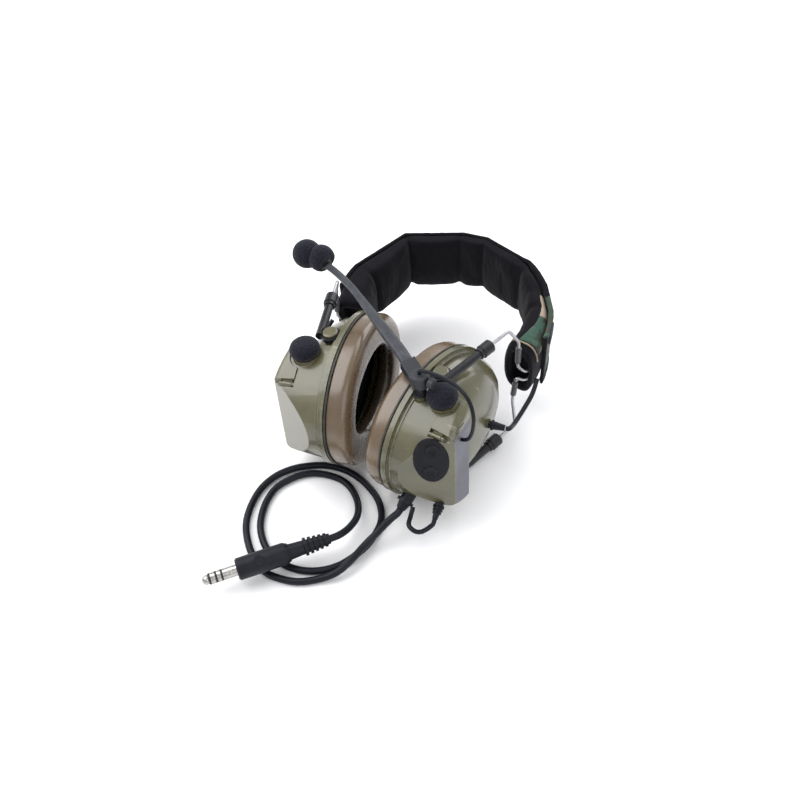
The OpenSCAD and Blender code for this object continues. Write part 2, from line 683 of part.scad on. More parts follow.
// Wire bow of one side, from the rail in the leg to the arch; f is 1 for the front, -1 for the back
cross_in = 9.5;
cross_x = arch_r - cross_in;
cross_y = [56, 55];
cross_top = 28;
cross_end = 5.5;
rise_x = 2.3;
rise_y = 5;
rise_z = 6.9;
rise_shift = 2.7;
function world(p) = p - origin;
function bow(i, f) = let (s = side[i]) [
  from_leg(i, [leg_offset, rail_end - 6, f*leg_z]),
  from_leg(i, [leg_offset, rail_end, f*leg_z]),
  world([s*(cross_x - 1), cross_y[i], cross_z + f*cross_top]),
  world([s*cross_x, cross_y[i], cross_z + f*cross_end]),
  world([rise_shift + s*(cross_x + rise_x), cross_y[i] + rise_y, cross_z - rise_z + f*wire_spread]),
  band_pt(s*wire_arch_r, -10, f*wire_spread),
  band_pt(s*wire_arch_r, -1, f*wire_spread)];
function reversed(p) = [for (k = [len(p)-1:-1:0]) p[k]];
function wire_path(f) = concat(
  bend(bow(1, f), wire_bend),
  [for (a = [6:8:174]) arch_pt(wire_arch_r, a, f*wire_spread)],
  reversed(bend(bow(0, f), wire_bend)));

module spring_wire(f) color(steel) {
  tube(wire_path(f), wire_r - 0.02, 8, [0, 0, 1]);
  for (i = [0, 1]) leg_frame(i) translate([leg_offset, rail_start, f*leg_z]) rotate([-90, 0, 0])
    cylinder(r = wire_r, h = rail_end - rail_start - 4);
}

sleeve_at = 4.2;
sleeve_l = 12.6;
sleeve_r = 2;
module wire_sleeves() color(black) for (i = [0, 1]) for (f = [-1, 1]) {
  b = bow(i, f);
  between(b[3] + sleeve_at*unit(b[2] - b[3]), b[2]) difference() {
    cylinder(r = sleeve_r, h = sleeve_l);
    translate([0, 0, -1]) cylinder(r = wire_r + wire_gap, h = sleeve_l + 2);
  }
}

liner_lo = -14;
liner_hi = 194;
liner_out = arch_r - cover_t - gap;
crease_at = [57, 88, 97, 129];
function crease(a) = max([for (c = crease_at) exp(-pow((a - c)/2.2, 2))]);
function liner_thick(a) =
  liner_t + (liner_end_t - liner_t)*pow(abs(a - 90)/103, 2) - 1.6*crease(a);
function liner_end(a) = let (q = max(0, abs(a - 90) - 95)/9) sqrt(max(0.02, 1 - q*q));
module headband_liner() color(black) difference() {
  ring_solid([for (j = [0:48]) let (a = liner_hi - (liner_hi - liner_lo)*j/48,
      t = liner_thick(a), s = liner_end(a), h = (cover_w/2 - 1.7)*(0.35 + 0.65*s) - 0.6*crease(a))
    [for (p = round_section(t/2*s, h, 16, 0.6))
      arch_pt(liner_out - t/2 + p[0], a, p[1])]]);
  for (f = [-1, 1]) wire_channel(f);
}
channel = wire_r + 0.5;
module wire_channel(f) band_frame() translate([0, 0, f*wire_spread - channel]) {
  rotate([0, 0, -0.5]) rotate_extrude(angle = 181, $fn = 96)
    translate([wire_arch_r - channel, 0]) square([7.7, 2*channel]);
  for (s = [0, 1]) mirror([s, 0, 0]) translate([wire_arch_r - channel - 0.4, -30, 0])
    cube([9, 31.5, 2*channel]);
  for (s = [0, 1]) mirror([s, 0, 0]) translate([wire_arch_r - 9, -30, 0])
    cube([10, 21, 2*channel]);
}

module arch_band(r0, r1, z0, z1, a0, a1) band_frame()
  rotate([0, 0, a0]) rotate_extrude(angle = a1 - a0, $fn = 120)
    translate([r0, z0]) square([r1 - r0, z1 - z0]);

cover_lo = -1;
cover_in = arch_r - cover_t;
module headband_cover() color([0.25, 0.27, 0.18]) {
  arch_band(cover_in, arch_r, -cover_w/2, cover_w/2, cover_lo, 180 - cover_lo);
}

// Width of the binding and its gap to the cover, in degrees of the arch
binding_a = 4;
binding_gap = 0.2;
module cover_binding() color([0.55, 0.48, 0.36])
  for (a = [cover_lo - binding_a, 180 - cover_lo + binding_gap])
    arch_band(cover_in, arch_r + gap, -cover_w/2 - gap, cover_w/2 + gap, a, a + binding_a - binding_gap);

// Link cable from the end of the liner to the relief on the cup
link_cable_route = [
  [from_cup(0, link_at + (link_out + 0.7)*link_dir), from_cup(0, link_at + 14*link_dir),
   world([-75, 36, 36]), world([-76, 50, 38]), world([-73, 60, 44])],
  [from_cup(1, link_at + (link_out + 0.7)*link_dir), from_cup(1, link_at + 14*link_dir),
   world([77, 22, 36]), world([79.4, 36.5, 38]), world([81, 48, 40]), world([81, 57, 46])]];
module link_cable(i) color(black)
  tube(cut_corners(link_cable_route[i]), link_r, 8, [0, 1, 0]);

// ---- cord and plug ----
// Stem of a strain relief set in its bore; x, y and z of the bore's mouth, direction out, depth and radius
module relief_bore(at, dir, deep, r) between(at - deep*dir, at) cylinder(r = r, h = deep + 12);

gland_at = [11, -49, -20];
gland_dir = unit([-0.1, -0.86, -0.42]);
gland_in = 5;
gland_r = 4.4;
gland_out = 9;
module cable_gland() color(black) cup_frame(1) difference() {
  between(gland_at - gland_in*gland_dir, gland_at) translate([0, 0, 0.3]) {
    cylinder(r = gland_r - 0.1, h = gland_in + 3);
    translate([0, 0, gland_in + 2.4]) cylinder(r = gland_r + 1.2, h = 2);
    translate([0, 0, gland_in + 4.3]) cylinder(r1 = gland_r - 0.4, r2 = cord_r + 0.6, h = gland_out - 4.3);
  }
}

jumper_at = [30, -42, -22];
jumper_dir = unit([0.25, -0.93, -0.26]);
jumper_in = 4;
jumper_r = 2.8;
jumper_out = 11;
jumper_cable_r = 1.5;
module jumper_relief() color(black) cup_frame(1)
  between(jumper_at - jumper_in*jumper_dir, jumper_at) translate([0, 0, 0.3]) {
    cylinder(r = jumper_r - 0.1, h = jumper_in + 2);
    for (k = [0:2]) translate([0, 0, jumper_in + 1.8 + 2*k])
      cylinder(r = jumper_r + 0.8 - 0.4*k, h = 1.4);
    translate([0, 0, jumper_in + 1.8])
      cylinder(r1 = jumper_r, r2 = jumper_cable_r + 0.2, h = jumper_out - 1.8);
  }

jumper_start = gland_at + 5*gland_dir + [gland_r + 2.4, 0, 0];
jumper_end = jumper_at + (jumper_out + 0.7)*jumper_dir;
jumper_route = [jumper_start, jumper_start + [1.5, -5, -2], [22, -66, -24], [30, -66, -26],
  jumper_end + 4*jumper_dir, jumper_end];
module jumper_cable() color(black) cup_frame(1)
  tube(cut_corners(jumper_route), jumper_cable_r, 8);

// Plug: z runs from the boot's tail to the tip of the pin
plug_tail = world([-5, -92, 14]);
plug_dir = unit([-0.73, -0.683, -0.03]);
module plug_frame() between(plug_tail, plug_tail + plug_dir) children();

boot_ribs = 5;
module plug_boot() color(black) plug_frame() difference() {
  union() {
    cylinder(r1 = cord_r + 1, r2 = plug_r*0.72, h = boot_l);
    for (k = [0:boot_ribs-1]) translate([0, 0, 2 + 3.2*k]) cylinder(r = cord_r + 2 + 0.35*k, h = 1.7);
  }
  translate([0, 0, -1]) cylinder(r = cord_r + 0.15, h = 9);
}

// Plain round boss on the plug's upper side
boss_r = 3;
boss_up = 19;
boss_turn = 23.5;
module plug_body() color(black) plug_frame() translate([0, 0, boot_l]) difference() {
  union() {
    cylinder(r1 = plug_r - 1.4, r2 = plug_r, h = 3);
    translate([0, 0, 3]) cylinder(r = plug_r, h = plug_l - 4);
    translate([0, 0, plug_l - 1]) cylinder(r1 = plug_r, r2 = plug_r - 1, h = 1);
    rotate([0, 0, -boss_turn]) translate([0, 0, boss_up]) rotate([0, -90, 0])
      cylinder(r = boss_r, h = plug_r + 0.35);
  }
  translate([0, 0, plug_l - 8]) cylinder(r = pin_r*0.8, h = 20);
}

pin_z = boot_l + plug_l;
ring_at = [8.5, 12, 16];
ring_w = 1.3;
module plug_pin() color(steel) plug_frame() translate([0, 0, pin_z]) difference() {
  union() {
    translate([0, 0, -7.5]) cylinder(r = pin_r*0.8 - 0.1, h = 8);
    cylinder(r = pin_r, h = pin_l - 5);
    translate([0, 0, pin_l - 5]) cylinder(r1 = pin_r, r2 = pin_r*0.62, h = 1.8);
    translate([0, 0, pin_l - 3.3]) cylinder(r = pin_r*0.62, h = 1);
    intersection() {
      translate([0, 0, pin_l - pin_r*0.86]) sphere(r = pin_r*0.86);
      cylinder(r = pin_r, h = pin_l);
    }
  }
  for (z = ring_at) translate([0, 0, z]) difference() {
    cylinder(r = 2*pin_r, h = ring_w);
    translate([0, 0, -1]) cylinder(r = pin_r*0.55, h = 4);
  }
}

module plug_insulators() color(black) plug_frame() for (z = ring_at)
  translate([0, 0, pin_z + z]) difference() {
    cylinder(r = pin_r, h = ring_w);
    translate([0, 0, -1]) cylinder(r = pin_r*0.55, h = 4);
  }

cord_z = cord_r + 0.05;
cord_start = gland_at + (gland_out + 0.6)*gland_dir;
cord_points = [[25, -67, 17], [19.5, -75, 10.5], [15, -85, 7.4], [11.7, -97, 7], [6.3, -107.8, 5.1],
  [-4, -115.5, cord_z], [-14, -121, cord_z], [-25, -123, cord_z], [-36, -122, cord_z],
  [-49, -114, cord_z], [-59, -103, cord_z], [-65, -92, cord_z], [-68, -79, cord_z],
  [-68, -66, cord_z], [-64, -54, cord_z], [-57, -45, cord_z], [-49, -39, cord_z],
  [-39, -34, cord_z], [-28, -32, cord_z], [-17, -33, cord_z], [-6, -37, cord_z],
  [5, -44, cord_z], [12, -52, cord_z], [16, -61, cord_z], [16.5, -70, cord_z],
  [15, -81, cord_z], [10, -93, cord_z], [4, -102, cord_z], [-5, -109, cord_z],
  [-16, -113, cord_z], [-28, -113, cord_z], [-39, -109, cord_z], [-47, -103, cord_z],
  [-54, -94, cord_z], [-58, -84, cord_z], [-60, -73, cord_z], [-59, -62, cord_z],
  [-54, -53, cord_z], [-48, -46.5, cord_z], [-40, -42, cord_z], [-30, -40, cord_z],
  [-20, -41, cord_z], [-11, -46, 2.8], [-3, -55, 4], [1.5, -66, 6.5], [1.5, -78, 10]];
lead_path = concat([from_cup(1, cord_start), from_cup(1, cord_start + 3*gland_dir)],
  [for (p = cord_points) world(p)], [plug_tail - 5*plug_dir, plug_tail + 7*plug_dir]);
module down_lead() color(black) tube(lead_path, cord_r, 8);

// Least free gap between strands of the lead that are not neighbours along it
lead_fine = [for (k = [0:len(lead_path)-2]) each [for (t = [0:0.25:0.75])
  (1 - t)*lead_path[k] + t*lead_path[k+1]]];
lead_gap = min([for (k = [0:len(lead_fine)-17]) for (j = [k+16:len(lead_fine)-1])
  norm(lead_fine[k] - lead_fine[j])]) - 2*cord_r;
echo(least_gap_of_the_lead_to_itself = lead_gap);

spring_wire(1);  // front_spring_wire
spring_wire(-1);  // back_spring_wire
wire_sleeves();
headband_liner();
headband_cover();
cover_binding();
link_cable(0);  // left_link_cable
link_cable(1);  // right_link_cable
leg_tube(0, 0);  // left_front_leg
leg_tube(0, 1);  // left_back_leg
leg_collars(0);  // left_leg_collars
leg_tube(1, 0);  // right_front_leg
leg_tube(1, 1);  // right_back_leg
leg_collars(1);  // right_leg_collars
shell(0);  // left_shell
plate(0);  // left_plate
cushion(0);  // left_cushion
foam_liner(0);  // left_foam_liner
speaker(0);  // left_speaker
circuit_board(0);  // left_circuit_board
battery(0);  // left_battery
battery_contact(0);  // left_battery_contact
mic_foam(0);  // left_mic_foam
mic_capsule(0);  // left_mic_capsule
pivot_caps(0);  // left_pivot_caps
link_relief(0);  // left_link_relief
battery_lid(0);  // left_battery_lid
lid_pin(0);  // left_lid_pin
shell(1);  // right_shell
plate(1);  // right_plate
cushion(1);  // right_cushion
foam_liner(1);  // right_foam_liner
speaker(1);  // right_speaker
circuit_board(1);  // right_circuit_board
battery(1);  // right_battery
battery_contact(1);  // right_battery_contact
mic_foam(1);  // right_mic_foam
mic_capsule(1);  // right_mic_capsule
pivot_caps(1);  // right_pivot_caps
link_relief(1);  // right_link_relief
battery_lid(1);  // right_battery_lid
lid_pin(1);  // right_lid_pin
button_pad();
button(0);  // upper_button
button(1);  // lower_button
boom_bracket();
boom_hub();
boom_knob();
boom_arm();
boom_mic();
boom_foam();
boom_cable();
cable_gland();
jumper_cable();
jumper_relief();
down_lead();
plug_boot();
plug_body();
plug_pin();
plug_insulators();
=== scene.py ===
"""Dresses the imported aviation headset: cords, soft pieces, finishes, stage and camera."""

import json
from math import atan2, copysign, cos, exp, pi, radians, sin, sqrt, tau

import bmesh
import bpy
from bpy.props import FloatProperty, FloatVectorProperty, PointerProperty
from mathutils import Matrix, Vector, noise

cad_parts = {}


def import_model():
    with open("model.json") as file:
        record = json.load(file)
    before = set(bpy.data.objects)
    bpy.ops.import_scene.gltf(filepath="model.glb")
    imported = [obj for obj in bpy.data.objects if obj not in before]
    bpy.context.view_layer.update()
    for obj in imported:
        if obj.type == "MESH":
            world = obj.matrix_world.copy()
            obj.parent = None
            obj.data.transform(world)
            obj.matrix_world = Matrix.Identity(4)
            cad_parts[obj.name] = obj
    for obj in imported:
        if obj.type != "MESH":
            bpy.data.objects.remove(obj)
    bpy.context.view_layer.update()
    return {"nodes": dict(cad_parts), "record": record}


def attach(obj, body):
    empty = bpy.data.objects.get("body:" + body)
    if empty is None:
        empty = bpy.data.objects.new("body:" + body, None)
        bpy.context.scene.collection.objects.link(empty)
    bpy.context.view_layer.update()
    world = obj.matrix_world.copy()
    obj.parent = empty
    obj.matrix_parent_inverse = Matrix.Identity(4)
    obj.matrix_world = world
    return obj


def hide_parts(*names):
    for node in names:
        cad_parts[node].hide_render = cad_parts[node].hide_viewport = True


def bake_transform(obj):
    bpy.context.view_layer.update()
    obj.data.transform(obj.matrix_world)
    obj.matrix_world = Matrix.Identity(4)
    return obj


bl_info = {
    "name": "Aviation headset",
    "version": (1, 0, 0),
    "blender": (4, 5, 0),
    "location": "View3D > Sidebar > Headset",
    "description": "Builds the soft pieces, cords and finishes of an aviation headset",
    "category": "Object",
}

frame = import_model()

# ---- places shared with the source of the part, in millimetres ----
ORIGIN = (-2.228, 42.275, 0.0)
SIDES = ("left", "right")
SIDE = (-1, 1)
LEAN = 7.5
TOE = (-5.0, 13.2)
RAIL_YAW = (-14.0, 24.0)
PIVOT = ((-38.3, 2.0, 49.23), (38.3, -1.5, 46.23))
PIVOT_IN_CUP = Vector((9.0, 2.0, 0.0))
SEAM_A, SEAM_B = 57.0, 45.0
PLATE_T = 3.0
CUSHION_T = 13.4
CUSHION_OUT = 0.5
OPENING_A, OPENING_B = 34.0, 22.0
CAVITY_A, CAVITY_B = 49.0, 34.2
FACE_DIST = 33.89
MIC_AT = Vector((20.5, -14.0, 38.6))
ARCH = (4.5, 79.0)
BAND_Z = 44.6
BAND_TILT = radians(8.0)
ARCH_R = 76.5
COVER_T = 2.2
COVER_W = 48.0
LINER_T, LINER_END_T = 8.0, 24.0
WIRE_ARCH_R = ARCH_R - COVER_T - 2.0
LEG_OFFSET, LEG_Z = 6.5, 43.2
CROSS_X, CROSS_Y = 67.0, (56.0, 55.0)
CROSS_Z, CROSS_TOP, CROSS_END = 49.0, 28.0, 5.5
RISE = Vector((2.3, 5.0, -6.9))
WIRE_SPREAD, WIRE_BEND = 4.0, 0.0034


def world(p):
    """A point given in millimetres above the floor, in the headset's own frame in metres."""
    return Vector([(p[k] - ORIGIN[k]) / 1000 for k in range(3)])


TARGET = world((0.0, 30.0, 50.0))


def side_matrix(i, yaw, shift):
    """Frame of a cup or leg: millimetres in, metres out."""
    place = Matrix.Translation([PIVOT[i][k] - ORIGIN[k] for k in range(3)])
    lean = Matrix.Rotation(radians(-LEAN), 4, "Y")
    turn = Matrix.Rotation(radians(-yaw), 4, "Z")
    mirror = Matrix.Diagonal((SIDE[i], 1, 1, 1))
    return Matrix.Scale(0.001, 4) @ place @ lean @ turn @ mirror @ Matrix.Translation(-shift)


CUP = [side_matrix(i, TOE[i], PIVOT_IN_CUP) for i in (0, 1)]
LEG = [side_matrix(i, RAIL_YAW[i], Vector((0, 0, 0))) for i in (0, 1)]


def signed_pow(v, e):
    """A power that keeps the sign; values next to zero give zero, so that a round form closes."""
    return copysign(abs(v) ** e, v) if abs(v) > 1e-9 else 0.0


def held(value, low, high):
    """Share of the way from low to high, held at 0 and 1."""
    return max(0.0, min(1.0, (value - low) / (high - low)))


# ---- sizes and colours that a user may change ----
def length(name, default, description):
    return FloatProperty(name=name, description=description, default=default, unit="LENGTH")


def shade(name, default, description):
    return FloatVectorProperty(name=name, description=description, default=default, subtype="COLOR", size=3)


class HeadsetSizes(bpy.types.PropertyGroup):
    """Sizes of the soft pieces and cords"""

    lead_diameter: length("Lead diameter", 0.0046, "Diameter of the lead to the plug")
    wire_diameter: length("Wire diameter", 0.0022, "Diameter of the spring wires")
    crease_depth: length("Crease depth", 0.0021, "Depth of the folds across the headband liner")
    cloth_ripple: length("Cloth ripple", 0.0006, "Height of the small ripples in the headband cloth")
    foam_pore: length("Foam pore", 0.00016, "Height of the surface pores of the foams")
    cushion_wrinkle: length("Cushion wrinkle", 0.00005, "Height of the gathers on the ear cushions")


class HeadsetColours(bpy.types.PropertyGroup):
    """Colours of the finishes"""

    olive: shade("Olive", (0.074, 0.068, 0.029), "Painted shells and lids")
    tan: shade("Tan", (0.112, 0.074, 0.041), "Skin of the ear cushions")
    black: shade("Black", (0.0085, 0.009, 0.0115), "Moulded plastic")
    rubber: shade("Rubber", (0.0044, 0.0054, 0.0095), "Cords and strain reliefs")
    foam: shade("Foam", (0.0075, 0.0078, 0.0125), "Windscreens and cup foam")
    cloth: shade("Cloth", (0.0042, 0.0042, 0.0062), "Headband liner")
    # painted reflection: the blue-grey of the boxes' outer face stands in for bluish light reflected by the
    # olive plastic
    panel: shade("Panel", (0.105, 0.108, 0.128), "Outer face of the boxes")


def sizes():
    return bpy.context.scene.headset_sizes


def user_colour(name):
    return getattr(bpy.context.scene.headset_colours, name)


# ---- small helpers for shader trees; each works in the tree of the socket it is given ----
def feed(socket, value):
    """Gives an input socket a number, a colour or the output of another node."""
    if isinstance(value, bpy.types.NodeSocket):
        socket.id_data.links.new(value, socket)
    else:
        socket.default_value = value


def add(tree, kind, values=None, **settings):
    """A new node with its settings and what its input sockets are fed."""
    node = tree.nodes.new(kind)
    for key, value in settings.items():
        setattr(node, key, value)
    for key, value in (values or {}).items():
        feed(node.inputs[key], value)
    return node


def calc(operation, *values):
    """A Math node; its first value is a socket, the others are sockets or numbers."""
    node = add(values[0].id_data, "ShaderNodeMath", dict(enumerate(values)), operation=operation)
    return node.outputs[0]


def times(a, b):
    return calc("MULTIPLY", a, b)


def mix_colour(factor, a, b):
    """A colour mixed by a mask; a and b are sockets or colours."""
    a, b = [c if isinstance(c, bpy.types.NodeSocket) else (*c[:3], 1.0) for c in (a, b)]
    return add(factor.id_data, "ShaderNodeMix", {0: factor, 6: a, 7: b}, data_type="RGBA").outputs[2]


def ramp(value, low, high, to_low=0.0, to_high=1.0):
    """A value stretched from low..high to to_low..to_high and held there."""
    return add(value.id_data, "ShaderNodeMapRange", {
        "Value": value, "From Min": low, "From Max": high, "To Min": to_low,
        "To Max": to_high}).outputs["Result"]


def spots(vector, scale, detail, roughness=0.5, distortion=0.0):
    """Noise from 0 to 1."""
    return add(vector.id_data, "ShaderNodeTexNoise", {
        "Vector": vector, "Scale": scale, "Detail": detail, "Roughness": roughness,
        "Distortion": distortion}).outputs["Fac"]


def cells(vector, scale, feature="SMOOTH_F1"):
    """Distance to the nearest of many scattered points."""
    return add(vector.id_data, "ShaderNodeTexVoronoi", {"Vector": vector, "Scale": scale},
               feature=feature).outputs["Distance"]


def mapped(vector, values):
    """A vector that is moved, turned or stretched."""
    return add(vector.id_data, "ShaderNodeMapping", {"Vector": vector, **values}).outputs["Vector"]


def part_of(vector, axis):
    return add(vector.id_data, "ShaderNodeSeparateXYZ", {0: vector}).outputs[axis]


def waves(vector, axis, rate):
    """A sine wave along one axis, rate in radians per metre."""
    return calc("SINE", times(part_of(vector, axis), rate))


def bump(height, strength, distance, normal=None):
    """The normal of a surface with fine relief."""
    values = {"Height": height, "Strength": strength, "Distance": distance}
    if normal is not None:
        values["Normal"] = normal
    return add(height.id_data, "ShaderNodeBump", values).outputs["Normal"]


def new_group(name, inputs, outputs):
    """An empty shader group with its two ends; an input without a value is a vector."""
    group = bpy.data.node_groups.new(name, "ShaderNodeTree")
    for label, value in inputs.items():
        kind = "NodeSocketVector" if value is None else "NodeSocketFloat"
        socket = group.interface.new_socket(label, in_out="INPUT", socket_type=kind)
        if value is not None:
            socket.default_value = value
    for label in outputs:
        kind = "NodeSocketVector" if label == "Normal" else "NodeSocketFloat"
        group.interface.new_socket(label, in_out="OUTPUT", socket_type=kind)
    return group, add(group, "NodeGroupInput"), add(group, "NodeGroupOutput")


def moulding_grain_group():
    """Fine leathery grain of moulded plastic, with faint long waves."""
    g, i, o = new_group("moulding_grain", {"Vector": None, "Scale": 1.0}, ("Height", "Patches"))
    place, scale = i.outputs["Vector"], i.outputs["Scale"]
    fine = spots(place, times(scale, 2400.0), 4.0, 0.6)
    pits = cells(place, times(scale, 1500.0))
    feed(o.inputs["Height"], calc("ADD", fine, times(pits, 0.5)))
    feed(o.inputs["Patches"], spots(place, 38.0, 3.0, 0.55))
    return g


def edge_wear_group():
    """Mask of rubbed edges: where the rounded normal leaves the flat one, broken up by noise."""
    g, i, o = new_group("edge_wear", {"Vector": None}, ("Mask", "Normal"))
    rounded = add(g, "ShaderNodeBevel", {"Radius": 0.0007}, samples=4).outputs["Normal"]
    flat = add(g, "ShaderNodeNewGeometry").outputs["True Normal"]
    dot = add(g, "ShaderNodeVectorMath", {0: rounded, 1: flat}, operation="DOT_PRODUCT").outputs["Value"]
    broken = ramp(spots(i.outputs["Vector"], 260.0, 5.0, 0.7), 0.38, 0.62)
    feed(o.inputs["Mask"], times(ramp(dot, 0.995, 0.90), broken))
    feed(o.inputs["Normal"], rounded)
    return g


def weave_group():
    """Plain weave in the piece's own UV map, given in metres, with slubs."""
    g, i, o = new_group("cloth_weave", {"Vector": None, "Threads": 2200.0}, ("Height", "Slubs"))
    place, threads = i.outputs["Vector"], i.outputs["Threads"]
    slubs = spots(place, 420.0, 4.0, 0.65)
    height = times(waves(place, "X", threads), waves(place, "Y", threads))
    feed(o.inputs["Height"], calc("ADD", height, times(slubs, 1.6)))
    feed(o.inputs["Slubs"], slubs)
    return g


def scuff_group():
    """Thin scratches and soft dusty patches."""
    g, i, o = new_group("scuffs_and_dust", {"Vector": None}, ("Scratches", "Dust"))
    place = i.outputs["Vector"]
    warp = spots(place, 90.0, 2.0)
    long_way = mapped(place, {"Rotation": (0.5, 0.3, 0.7), "Scale": (26.0, 380.0, 380.0)})
    thin = ramp(spots(long_way, 1.0, 2.0), 0.66, 0.72)
    feed(o.inputs["Scratches"], times(thin, ramp(warp, 0.52, 0.66)))
    feed(o.inputs["Dust"], ramp(warp, 0.42, 0.75))
    return g


GROUPS = {}
FINISHES = {}


def from_group(maker, vector, values=None):
    """Outputs of one of the shared groups, which is built the first time it is used."""
    if maker not in GROUPS:
        GROUPS[maker] = maker()
    node = add(vector.id_data, "ShaderNodeGroup", {"Vector": vector, **(values or {})},
               node_tree=GROUPS[maker])
    return node.outputs


def dress(m, values):
    """Feeds the shader of a material, and gives the material back."""
    for key, value in values.items():
        feed(m.node_tree.nodes["Principled BSDF"].inputs[key], value)
    return m


def start_finish(name, roughness, colour, metallic=0.0):
    """A new material with its object coordinates and its own UV map."""
    m = bpy.data.materials.new(name)
    m.use_nodes = True
    dress(m, {"Base Color": (*colour[:3], 1.0), "Roughness": roughness, "Metallic": metallic})
    coords = add(m.node_tree, "ShaderNodeTexCoord")
    return m, coords.outputs["Object"], coords.outputs["UV"]


def toned(colour, factor, plus=0.0):
    return [min(1.0, c * factor + plus) for c in colour]


# ---- finishes ----
def moulded(name, colour, roughness, wear, wear_share, grain, dust, coat, shine):
    """Moulded or painted plastic with grain, rubbed edges, scratches and dust."""
    colour = user_colour(colour) if isinstance(colour, str) else colour
    m, place, _ = start_finish(name, roughness, colour)
    skin = from_group(moulding_grain_group, place)
    worn = from_group(edge_wear_group, place)
    used = from_group(scuff_group, place)
    patches = skin["Patches"]
    base = mix_colour(ramp(patches, 0.35, 0.68), toned(colour, 0.80), toned(colour, 1.28, 0.001))
    dusty = times(used["Dust"], dust)
    base = mix_colour(dusty, base, toned(colour, 0.8, 0.03))
    marks = times(used["Scratches"], 0.35)
    rubbed = times(worn["Mask"], wear_share)
    return dress(m, {
        "Base Color": mix_colour(calc("MAXIMUM", rubbed, marks), base, wear),
        "Roughness": ramp(patches, 0.3, 0.75, roughness - 0.06, roughness + 0.08),
        "Specular IOR Level": shine, "Coat Weight": coat, "Coat Roughness": 0.16,
        "Normal": bump(skin["Height"], grain, 0.00012, worn["Normal"])})


def rubber(name):
    """Satin rubber of the cords and reliefs."""
    c = user_colour("rubber")
    m, place, _ = start_finish(name, 0.40, c)
    skin = from_group(moulding_grain_group, place, {"Scale": 0.7})
    used = from_group(scuff_group, place)
    dusty = times(used["Dust"], 0.4)
    return dress(m, {
        "Base Color": mix_colour(dusty, c, toned(c, 2.0, 0.003)),
        "Roughness": ramp(skin["Patches"], 0.3, 0.75, 0.34, 0.52),
        "Specular IOR Level": 0.22, "Normal": bump(skin["Height"], 0.35, 0.0001)})


def ribbed(name):
    """Satin grey plastic with fine ribs across it; the rib crests are painted lighter and the grooves darker,
    painted light and shade of the ribs.
    """
    m, place, uv = start_finish(name, 0.36, (0.040, 0.044, 0.053))
    ribs = waves(uv, "Y", 880 * tau)
    # painted shade: the colour follows the rib wave, darker in the grooves, with a random tone on top
    tone = calc("ADD", times(ribs, 0.20), spots(place, 210.0, 4.0))
    shades = ((0.026, 0.029, 0.036), (0.062, 0.067, 0.079))
    return dress(m, {"Base Color": mix_colour(ramp(tone, 0.35, 0.75), *shades),
                     "Normal": bump(ribs, 0.5, 0.0003)})


def leather(name):
    """Glossy leather-like skin with pores and fine folds; the roll's inner wall is painted dark as painted
    shade inside the opening.
    """
    c = user_colour("tan")
    m, place, uv = start_finish(name, 0.30, c)
    folds = spots(place, 150.0, 6.0, 0.62, 0.6)
    tone = ramp(spots(place, 34.0, 3.0), 0.34, 0.66)
    # painted shade: distance round the roll from its innermost point, where the skin is painted dark
    inner_wall_shade_distance = calc("ABSOLUTE", calc("SUBTRACT", part_of(uv, "X"), 0.030))
    skin = mix_colour(tone, toned(c, 0.84), toned(c, 1.12))
    relief = calc("ADD", times(cells(place, 1500.0), 0.35), folds)
    return dress(m, {
        # painted shade: on the roll's inner wall the skin colour falls to 0.3 of itself
        "Base Color": mix_colour(ramp(inner_wall_shade_distance, 0.0165, 0.0085), skin, toned(c, 0.30, 0.003)),
        "Roughness": ramp(folds, 0.35, 0.65, 0.22, 0.34),
        "Coat Weight": 0.5, "Coat Roughness": 0.20, "Normal": bump(relief, 0.05, 0.0003)})


def foam(name, shade_dim, pale_by, sheen):
    """Fine open-cell foam; its colour is scaled by the given factor, which below 1 is painted shade."""
    c = toned(user_colour("foam"), shade_dim)
    m, place, _ = start_finish(name, 0.95, c)
    tone = spots(place, 900.0, 4.0, 0.7)
    relief = calc("ADD", cells(place, 1300.0, "F1"), tone)
    return dress(m, {
        "Base Color": mix_colour(ramp(tone, 0.42, 0.72), c, toned(c, pale_by, 0.001)),
        "Sheen Weight": sheen, "Sheen Roughness": 0.5, "Specular IOR Level": 0.08,
        "Normal": bump(relief, 0.9, 0.0004)})


def brushed_cloth(name):
    """Brushed black cloth of the headband liner."""
    c = user_colour("cloth")
    m, place, uv = start_finish(name, 0.92, c)
    weave = from_group(weave_group, uv, {"Threads": 5200.0})
    lint = ramp(spots(place, 1900.0, 3.0, 0.7), 0.45, 0.75)
    fuzz = times(lint, ramp(spots(place, 46.0, 4.0), 0.3, 0.7))
    return dress(m, {
        "Base Color": mix_colour(fuzz, c, toned(c, 2.2, 0.0015)),
        "Sheen Weight": 0.06, "Sheen Roughness": 0.45, "Specular IOR Level": 0.12,
        "Normal": bump(weave["Height"], 0.35, 0.00022)})


# each layer of the print: where its noise starts, its scale, the noise level it begins at, its colour
PRINT_GROUND = (0.016, 0.036, 0.022)
PRINT_LAYERS = (((0.0, 0.0, 0.0), 34.0, 0.53, (0.030, 0.085, 0.056)),
                ((3.1, 0.7, 1.9), 30.0, 0.58, (0.040, 0.026, 0.015)),
                ((2.3, 8.1, 5.2), 42.0, 0.62, (0.240, 0.185, 0.130)),
                ((1.3, 9.1, 5.5), 44.0, 0.58, (0.007, 0.008, 0.008)))
PRINT_SOFTNESS = 0.012


